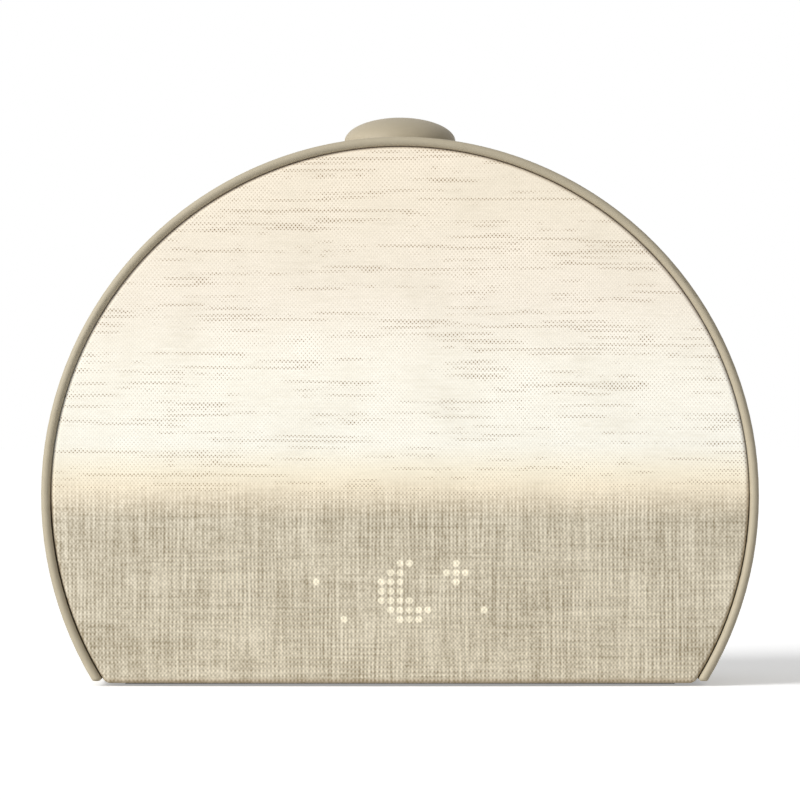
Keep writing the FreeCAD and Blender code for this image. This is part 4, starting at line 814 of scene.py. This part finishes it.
@dataclass
class WovenFront:
    """The cloth over the front panel: crowned, rolled round its edge and folded back round the panel.

    Sizes are in metres.

    Attributes:
        crown_rise: how far the middle stands out over the edge.
        roll: radius of the rolled edge.
        weave_step: size of the squares that the face is cut into.
        slub_height: height of the thickest threads.
        outline_share: share of its own rectangle that the outline fills.
        horizon_rise_mm: how far the horizon lies over the case's axis, in millimetres.
    """

    crown_rise: float = 2.5 * MM
    roll: float = 1.2 * MM
    roll_steps: int = 6
    thickness: float = 0.7 * MM
    weave_step: float = 1.6 * MM
    slub_height: float = 0.05 * MM
    outline_sides: int = 300
    outline_share: float = 0.82
    horizon_rise_mm: float = 0.8
    centre: Vector = field(init=False)
    radius: float = field(init=False)
    floor: float = field(init=False)
    front: float = field(init=False)
    back: float = field(init=False)

    def __post_init__(self) -> None:
        """Reads the cloth's place from its node."""
        low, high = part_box("fabric_cover")
        self.radius = (high[0] - low[0]) / 2
        self.centre = Vector((0.0, low[1], high[2] - self.radius))
        self.floor = low[2]
        self.front = low[1]
        self.back = high[1]

    def crown(self, x: float, z: float) -> float:
        """How far the face has fallen back at a place on it."""
        ball = (self.radius**2 + self.crown_rise**2) / (2 * self.crown_rise)
        reach = x**2 + (z - self.centre.z) ** 2
        return ball - math.sqrt(ball**2 - reach)

    def slubs(self, x: float, z: float) -> float:
        """How far the stretched threads lie under the highest ones."""
        across = noise.noise(Vector((x * 40, 0.0, z * 900)))
        along = noise.noise(Vector((x * 900, 5.0, z * 40)))
        return self.slub_height * (2 + across + along) / 4

    def face_outline(self) -> bmesh.types.BMesh:
        """Flat outline of the front, inside the roll of its edge, as one face."""
        form = bmesh.new()
        bmesh.ops.create_circle(
            form, cap_ends=True, segments=self.outline_sides, radius=self.radius - self.roll,
            matrix=facing_front(self.centre),
        )
        bmesh.ops.bisect_plane(
            form, geom=form.faces[:] + form.edges[:] + form.verts[:],
            plane_co=(0, 0, self.floor + self.roll), plane_no=(0, 0, -1), clear_outer=True,
        )
        corners = sorted(form.verts, key=lambda vert: (round(vert.co.z, 6), vert.co.x))
        lowest = [vert for vert in corners if vert.co.z < self.floor + self.roll + 1e-6]
        ends = [lowest[0], lowest[-1]]
        bmesh.ops.bevel(
            form, geom=ends, offset=self.roll * 0.5, segments=4, profile=0.5, affect="VERTICES", material=-1
        )
        return form

    def outward(self, vert: bmesh.types.BMVert) -> Vector:
        """Direction out of the outline at one of its points."""
        normal = Vector((0, 0, 0))
        for edge in vert.link_edges:
            if edge.is_boundary:
                other = edge.other_vert(vert)
                along = (other.co - vert.co).normalized()
                side = Vector((along.z, 0, -along.x))
                middle = (other.co + vert.co) / 2 - self.centre
                if side.dot(Vector((middle.x, 0, middle.z))) < 0:
                    side = -side
                normal += side
        return normal.normalized()

    def roll_edge(self, form: bmesh.types.BMesh) -> None:
        """Rolls the outline's edge back and folds it along the panel's side."""
        rim = [edge for edge in form.edges if edge.is_boundary]
        starts = {vert: (vert.co.copy(), self.outward(vert)) for edge in rim for vert in edge.verts}
        places = dict(starts)
        for step in range(1, self.roll_steps + 2):
            ring = bmesh.ops.extrude_edge_only(form, edges=rim)["geom"]
            rim = [item for item in ring if isinstance(item, bmesh.types.BMEdge) and item.is_boundary]
            fresh = dict.fromkeys(vert for edge in rim for vert in edge.verts)
            moved = {}
            for vert in fresh:
                origin, side = self.source_of(vert, places)
                if step <= self.roll_steps:
                    turn = math.pi / 2 * step / self.roll_steps
                    vert.co = origin + side * (self.roll * math.sin(turn))
                    vert.co.y = self.front + self.roll * (1 - math.cos(turn))
                else:
                    vert.co = origin + side * self.roll
                    vert.co.y = self.back
                moved[vert] = (origin, side)
            places = moved

    @staticmethod
    def source_of(
        vert: bmesh.types.BMVert, places: dict[bmesh.types.BMVert, tuple[Vector, Vector]]
    ) -> tuple[Vector, Vector]:
        """Outline point and direction that a fresh point was drawn from."""
        for edge in vert.link_edges:
            other = edge.other_vert(vert)
            if other in places:
                return places[other]
        raise LookupError("a rolled point has no source")

    def weave_grid(self, form: bmesh.types.BMesh) -> None:
        """Cuts the face into small squares, so that it can be crowned."""
        left = -self.radius
        for axis, low, high in ((0, left, self.radius), (2, self.floor, self.centre.z + self.radius)):
            count = int((high - low) / self.weave_step)
            for i in range(1, count):
                point = [0.0, 0.0, 0.0]
                normal = [0.0, 0.0, 0.0]
                point[axis] = low + (high - low) * i / count
                normal[axis] = 1.0
                flat = [face for face in form.faces if abs(face.normal.y) > 0.99]
                edges = dict.fromkeys(edge for face in flat for edge in face.edges)
                verts = dict.fromkeys(vert for face in flat for vert in face.verts)
                bmesh.ops.bisect_plane(form, geom=[*flat, *edges, *verts], plane_co=point, plane_no=normal)

    def build(self) -> None:
        """Builds the cloth in its linen finish."""
        material = self.linen().dress()
        form = self.face_outline()
        form.normal_update()
        self.weave_grid(form)
        self.roll_edge(form)
        for vert in form.verts:
            depth = vert.co.y - self.front
            share = 1 - max(0.0, depth - self.roll) / (self.back - self.front - self.roll)
            vert.co.y += self.crown(vert.co.x, vert.co.z) * share
            if depth < 1e-6:
                vert.co.y += self.slubs(vert.co.x, vert.co.z)
        cloth = finished("woven_front", form, material, smooth_degrees=60.0)
        thicken(cloth, self.thickness)
        width = 2 * self.radius + 2 * (self.back - self.front)
        height = self.centre.z + self.radius - self.floor + 2 * (self.back - self.front)
        area = width * height * self.outline_share
        stretch(cloth, "fabric_cover", ["sunrise_diffuser", "display_mask"], (width, height), area)

    def linen(self) -> SlubLinen:
        """The cloth's finish, fitted to the panel and to the display's lamps."""
        lamps_low, lamps_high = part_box("display_leds")
        return SlubLinen(
            axis_mm=self.centre.z / MM,
            edge_mm=self.radius / MM,
            horizon_mm=self.centre.z / MM + self.horizon_rise_mm,
            dots_mm=(lamps_low[2] + lamps_high[2]) / 2 / MM,
        )


class SubAssembly:
    """Pieces and finishes of one part of the clock."""

    def pieces(self) -> None:
        """Makes the pieces that stand in for nodes, where there are any."""

    def looks(self) -> Looks:
        """Finishes, each with the nodes that wear it."""
        raise NotImplementedError

    def build(self) -> None:
        """Makes the pieces and dresses the nodes."""
        self.pieces()
        for look, names in self.looks():
            dress_nodes(look.dress(), names)


@dataclass
class Loudspeaker(SubAssembly):
    """Loudspeaker behind the rear grille, with its ribbed spider and the gauze of the grille."""

    rib_height: float = 0.45 * MM
    ribs: int = 4
    spider_steps: int = 48
    spider_turns: int = 64
    gauze_sides: int = 96

    def spider(self) -> None:
        """Ribbed cloth disc that centres the voice coil."""
        low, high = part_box("speaker_spider")
        outer = (high[0] - low[0]) / 2
        coil_low, coil_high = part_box("voice_coil")
        inner = (coil_high[0] - coil_low[0]) / 2
        centre = middle_of("speaker_spider")
        form = bmesh.new()
        section = []
        for i in range(self.spider_steps + 1):
            share = i / self.spider_steps
            radius = inner + (outer - inner) * share
            wave = self.rib_height / 2 * math.sin(2 * math.pi * self.ribs * share)
            section.append(form.verts.new((radius, centre.y + wave, centre.z)))
        edges = [form.edges.new(ends) for ends in zip(section, section[1:])]
        bmesh.ops.spin(
            form, geom=section + edges, cent=(0, 0, centre.z), axis=(0, 1, 0), angle=2 * math.pi,
            steps=self.spider_turns, use_merge=True,
        )
        bmesh.ops.remove_doubles(form, verts=form.verts, dist=1e-6)
        cloth = WovenMesh("waxed_cloth", (0.50, 0.34, 0.13), (0.22, 0.13, 0.05), 0.5).dress()
        piece = finished("spider_cloth", form, cloth)
        area = math.pi * (outer**2 - inner**2)
        stretch(piece, "speaker_spider", ["speaker_basket"], (2 * outer, 2 * outer), area)

    def gauze(self) -> None:
        """Fine black cloth behind the grille."""
        low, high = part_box("grille_cloth")
        radius = (high[0] - low[0]) / 2
        stand = facing_front(middle_of("grille_cloth"))
        form = bmesh.new()
        bmesh.ops.create_circle(form, cap_ends=True, segments=self.gauze_sides, radius=radius, matrix=stand)
        cloth = WovenMesh("black_grille_cloth", (0.035, 0.035, 0.036), (0.004, 0.004, 0.004)).dress()
        piece = finished("grille_gauze", form, cloth)
        stretch(piece, "grille_cloth", ["rear_housing"], (2 * radius, 2 * radius), math.pi * radius**2)

    def pieces(self) -> None:
        """Makes the two cloths."""
        self.spider()
        self.gauze()

    def looks(self) -> Looks:
        """Finishes of the hard parts and of the rubber."""
        lacquer = Finish(
            "basket_lacquer", (0.04, 0.04, 0.042), (0.02, 0.02, 0.021), roughness=0.38, coat=0.3
        )
        ferrite = Finish("ferrite", (0.075, 0.075, 0.08), (0.04, 0.04, 0.043), grain_mm=0.3, depth_mm=0.05)
        steel = metal("turned_steel", 0.60, 0.44, 0.28, Grain.ALONG_Y)
        copper = Striped("wound_copper", (0.62, 0.27, 0.11), (0.40, 0.15, 0.06), 0.25, 1, 0.3, 1.0)
        paper = Finish(
            "cone_paper", (0.035, 0.035, 0.035), (0.018, 0.018, 0.018), grain_mm=0.8, depth_mm=0.06,
            roughness=0.8,
        )
        rubber = Finish("surround_rubber", (0.026, 0.026, 0.027), (0.014, 0.014, 0.014), roughness=0.6)
        moulding = Finish(
            "black_moulding", (0.035, 0.035, 0.036), (0.022, 0.022, 0.022), grain_mm=0.4, depth_mm=0.03,
            roughness=0.55,
        )
        return [
            (lacquer, ["speaker_basket"]),
            (ferrite, ["speaker_magnet"]),
            (steel, ["speaker_top_plate", "speaker_yoke"]),
            (copper, ["voice_coil"]),
            (paper, ["speaker_cone", "speaker_dust_cap"]),
            (rubber, ["speaker_surround"]),
            (moulding, ["speaker_enclosure", "button_bracket"]),
        ]


@dataclass
class Fastenings(SubAssembly):
    """Screws, gaskets, leads and the button's spring, whose wire is given by its radius."""

    spring_wire: float = 0.45 * MM
    spring_turns: int = 5
    steps_per_turn: int = 36
    wire_sides: int = 10

    def pieces(self) -> None:
        """Makes the coil under the top button."""
        low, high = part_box("button_spring")
        wire = self.spring_wire
        axis = middle_of("button_spring")
        axis.z = low[2] + wire
        coil_radius = (high[0] - low[0]) / 2 - wire
        steps = self.spring_turns * self.steps_per_turn
        rise = (high[2] - low[2] - 2 * wire) / steps
        form = bmesh.new()
        first = facing_front(axis + Vector((coil_radius, 0, 0)))
        bmesh.ops.create_circle(form, segments=self.wire_sides, radius=wire, matrix=first)
        bmesh.ops.spin(
            form, geom=form.verts[:] + form.edges[:], cent=axis, axis=(0, 0, 1), dvec=(0, 0, rise),
            angle=2 * math.pi * self.spring_turns, steps=steps,
        )
        ends = [edge for edge in form.edges if edge.is_boundary]
        bmesh.ops.holes_fill(form, edges=ends, sides=self.wire_sides)
        steel = Finish(
            "spring_steel", (0.66, 0.66, 0.67), (0.52, 0.52, 0.54), grain=Grain.ALONG_X, roughness=0.22,
            metallic=1.0,
        )
        piece = finished("return_spring", form, steel.dress(), body=None)
        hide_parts("button_spring")
        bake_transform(piece)

    def looks(self) -> Looks:
        """Finishes of the screws, the foam and the leads."""
        zinc = Finish(
            "zinc_screws", (0.62, 0.62, 0.63), (0.46, 0.46, 0.48), grain_mm=0.2, roughness=0.3, metallic=1.0
        )
        places = ("base", "chassis", "board", "speaker", "enclosure", "bracket")
        foam = Finish(
            "closed_cell_foam", (0.06, 0.06, 0.06), (0.025, 0.025, 0.025), grain_mm=0.6, depth_mm=0.15,
            roughness=0.9,
        )
        leads = Striped("paired_leads", (0.42, 0.02, 0.02), (0.02, 0.02, 0.022), 1.6, 0, 0.4)
        cable = Striped("flat_cable", (0.86, 0.86, 0.84), (0.66, 0.66, 0.64), 0.5, 0, 0.35)
        return [
            (zinc, [f"{place}_screws" for place in places]),
            (foam, ["light_gasket", "speaker_gasket"]),
            (leads, ["wiring"]),
            (cable, ["display_ribbon"]),
        ]


class Lighting(SubAssembly):
    """The lamps, the diffuser and the white tray behind the cloth."""

    def looks(self) -> Looks:
        """Finishes from the diffuser back to the lamps."""
        # The diffuser's glow is painted light from the lamps behind it.
        opal = Finish(
            "opal_plastic", (0.90, 0.88, 0.82), (0.84, 0.81, 0.74), roughness=0.35,
            glow=(1.0, 0.72, 0.42), glow_strength=0.25,
        )
        mask = Finish("mask_plastic", (0.70, 0.65, 0.55), (0.60, 0.55, 0.46), roughness=0.55)
        tray = Finish("white_tray", (0.86, 0.86, 0.84), (0.78, 0.78, 0.76), grain_mm=0.5, roughness=0.5)
        film = Finish("reflector_film", (0.92, 0.92, 0.92), (0.86, 0.86, 0.86), roughness=0.6)
        strip = Finish(
            "lamp_strip", (0.85, 0.85, 0.84), (0.74, 0.74, 0.73), grain=Grain.ALONG_X, roughness=0.4,
            metallic=0.3,
        )
        sky_lamps = Lamps("sky_lamps", (0.85, 0.84, 0.80), (1.0, 0.74, 0.40), 6.43, 1.9, 2.0, offset=0.5)
        dot_lamps = Lamps("dot_lamps", (0.82, 0.81, 0.78), (1.0, 0.88, 0.62), 2.7, 0.45, 1.0)
        return [
            (opal, ["sunrise_diffuser"]),
            (mask, ["display_mask"]),
            (tray, ["light_box"]),
            (film, ["reflector_sheet", "display_film"]),
            (strip, ["sunrise_board"]),
            (sky_lamps, ["sunrise_leds"]),
            (dot_lamps, ["display_leds"]),
        ]


class Electronics(SubAssembly):
    """Boards and what is soldered to them."""

    def looks(self) -> Looks:
        """Finishes of the boards and their parts."""
        boards = [f"{place}_board" for place in ("display", "main", "button", "alarm", "power")]
        chip = Finish("chip_resin", (0.03, 0.03, 0.032), (0.016, 0.016, 0.017), grain_mm=0.2, roughness=0.45)
        can = Finish(
            "tinned_can", (0.68, 0.68, 0.68), (0.55, 0.55, 0.56), grain=Grain.ALONG_X, roughness=0.3,
            metallic=1.0,
        )
        sleeve = Finish(
            "capacitor_sleeve", (0.05, 0.06, 0.12), (0.03, 0.035, 0.08), roughness=0.35, coat=0.3
        )
        ivory = Finish("ivory_sockets", (0.80, 0.76, 0.66), (0.70, 0.66, 0.56), roughness=0.45)
        shaft = metal("turned_aluminium", 0.76, 0.62, 0.28, Grain.ALONG_Y)
        jack = Finish("jack_moulding", (0.03, 0.03, 0.031), (0.018, 0.018, 0.018), roughness=0.32, coat=0.2)
        return [
            (PrintedBoard(), [*boards, "dial_boards"]),
            (chip, ["board_chips", "light_sensor", "button_switch", "alarm_switch"]),
            (can, ["wifi_module", "volume_encoder", "brightness_encoder"]),
            (sleeve, ["capacitors"]),
            (ivory, ["board_connectors", "button_plunger", "alarm_lever"]),
            (shaft, ["volume_shaft", "brightness_shaft"]),
            (jack, ["power_jack"]),
        ]


class CaseAndControls(SubAssembly):
    """The putty-coloured pieces that are seen from outside, and the foot."""

    def looks(self) -> Looks:
        """Finishes of the case, the button, the controls and the foot."""
        cap = SoftTouchPutty(name="button_putty", tone=linear(184, 173, 151), low_tone=linear(166, 155, 131))
        dials = SoftTouchPutty(
            name="dial_putty", tone=linear(176, 165, 142), low_tone=linear(160, 148, 124), grain_mm=0.22
        )
        return [
            (SoftTouchPutty(), ["rear_housing", "base_plate"]),
            (cap, ["button_cap"]),
            (dials, ["volume_knob", "brightness_knob", "alarm_slider", "speaker_grille"]),
            (RibbedRubber(), ["foot_pad"]),
        ]


@dataclass
class Studio:
    """Camera, lamp, white world and pale floor.

    Attributes:
        picture_width: width of the picture at the case's rim.
        distance: from the camera to the rim.
        axis_drop: how far the case's axis lies under the middle of the picture.
        clip: nearest and furthest distance that the camera sees.
        ambient: strength of the world's light on the object.
        floor_tone: colour of the floor to all but the camera's and mirror rays.
        floor_lift: light that the floor adds to those rays, so that it ends in white.
    """

    picture_width: float = 800 * PIXEL
    distance: float = 1.5
    axis_drop: float = 95.8 * PIXEL
    sensor_mm: float = 36.0
    clip: tuple[float, float] = (0.05, 50.0)
    ambient: float = 0.33
    sun_energy: float = 3.05
    sun_angle: float = math.radians(30)
    sun_from: Vector = field(default_factory=lambda: Vector((-0.78, -0.55, 0.42)))
    floor_size: float = 14.0
    floor_tone: Colour = (0.78, 0.78, 0.78)
    floor_lift: Colour = (0.34, 0.34, 0.34)

    def camera(self, rim_y: float, axis_z: float) -> None:
        """Sets the camera square on to the front, by the rim's Y and the height of the case's axis."""
        data = bpy.data.cameras.new("front_camera")
        data.sensor_width = self.sensor_mm
        data.lens = self.sensor_mm * self.distance / self.picture_width
        data.clip_start, data.clip_end = self.clip
        camera = bpy.data.objects.new("front_camera", data)
        camera.location = (0.0, rim_y - self.distance, axis_z + self.axis_drop)
        camera.rotation_euler = (math.pi / 2, 0.0, 0.0)
        bpy.context.scene.collection.objects.link(camera)
        bpy.context.scene.camera = camera

    def sun(self) -> None:
        """Hangs one broad soft lamp at the upper left."""
        data = bpy.data.lights.new("upper_left_lamp", "SUN")
        data.energy = self.sun_energy
        data.angle = self.sun_angle
        lamp = bpy.data.objects.new("upper_left_lamp", data)
        lamp.rotation_euler = self.sun_from.to_track_quat("Z", "Y").to_euler()
        bpy.context.scene.collection.objects.link(lamp)

    def white_world(self) -> None:
        """Lights the object evenly and shows white behind it."""
        world = bpy.data.worlds.new("white_room")
        bpy.context.scene.world = world
        world.use_nodes = True
        bench = TreeBench(world.node_tree)
        rays = bench.make("ShaderNodeLightPath").outputs
        through = Signal(bench, rays["Is Transmission Ray"])
        seen = bench.math("MAXIMUM", bench.seen_directly(), through)
        strength = self.ambient + seen * (1 - self.ambient)
        light = bench.make("ShaderNodeBackground", {}, {"Color": WHITE, "Strength": strength})
        bench.make("ShaderNodeOutputWorld", {}, {"Surface": light.outputs["Background"]})

    def floor(self) -> None:
        """Lays the pale floor, white to the camera apart from the object's shadow."""
        form = bmesh.new()
        bmesh.ops.create_grid(form, x_segments=1, y_segments=1, size=self.floor_size / 2)
        mesh = bpy.data.meshes.new("studio_floor")
        form.to_mesh(mesh)
        form.free()
        bench = NodeBench("floor_paper")
        seen = bench.seen_directly()
        bench.settle(
            Base_Color=bench.blend(seen, self.floor_tone, WHITE),
            Roughness=1.0,
            Specular_IOR_Level=0.0,
            Emission_Color=bench.blend(seen, DARK, self.floor_lift),
            Emission_Strength=1.0,
        )
        mesh.materials.append(bench.material)
        floor = bpy.data.objects.new("studio_floor", mesh)
        bpy.context.scene.collection.objects.link(floor)

    def build(self) -> None:
        """Sets up the whole studio."""
        low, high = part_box("rear_housing")
        axis_z = high[2] - (high[0] - low[0]) / 2
        self.camera(low[1], axis_z)
        self.sun()
        self.white_world()
        self.floor()
        bpy.context.scene.view_settings.view_transform = "Standard"
        log.info("studio is set")


def main() -> None:
    """Builds and dresses everything in order."""
    logging.basicConfig(level=logging.INFO, format="%(name)s: %(message)s")
    for group in (
        WovenFront(), CaseAndControls(), Lighting(), Electronics(), Loudspeaker(), Fastenings(), Studio()
    ):
        group.build()


if __name__ == "__main__":
    main()
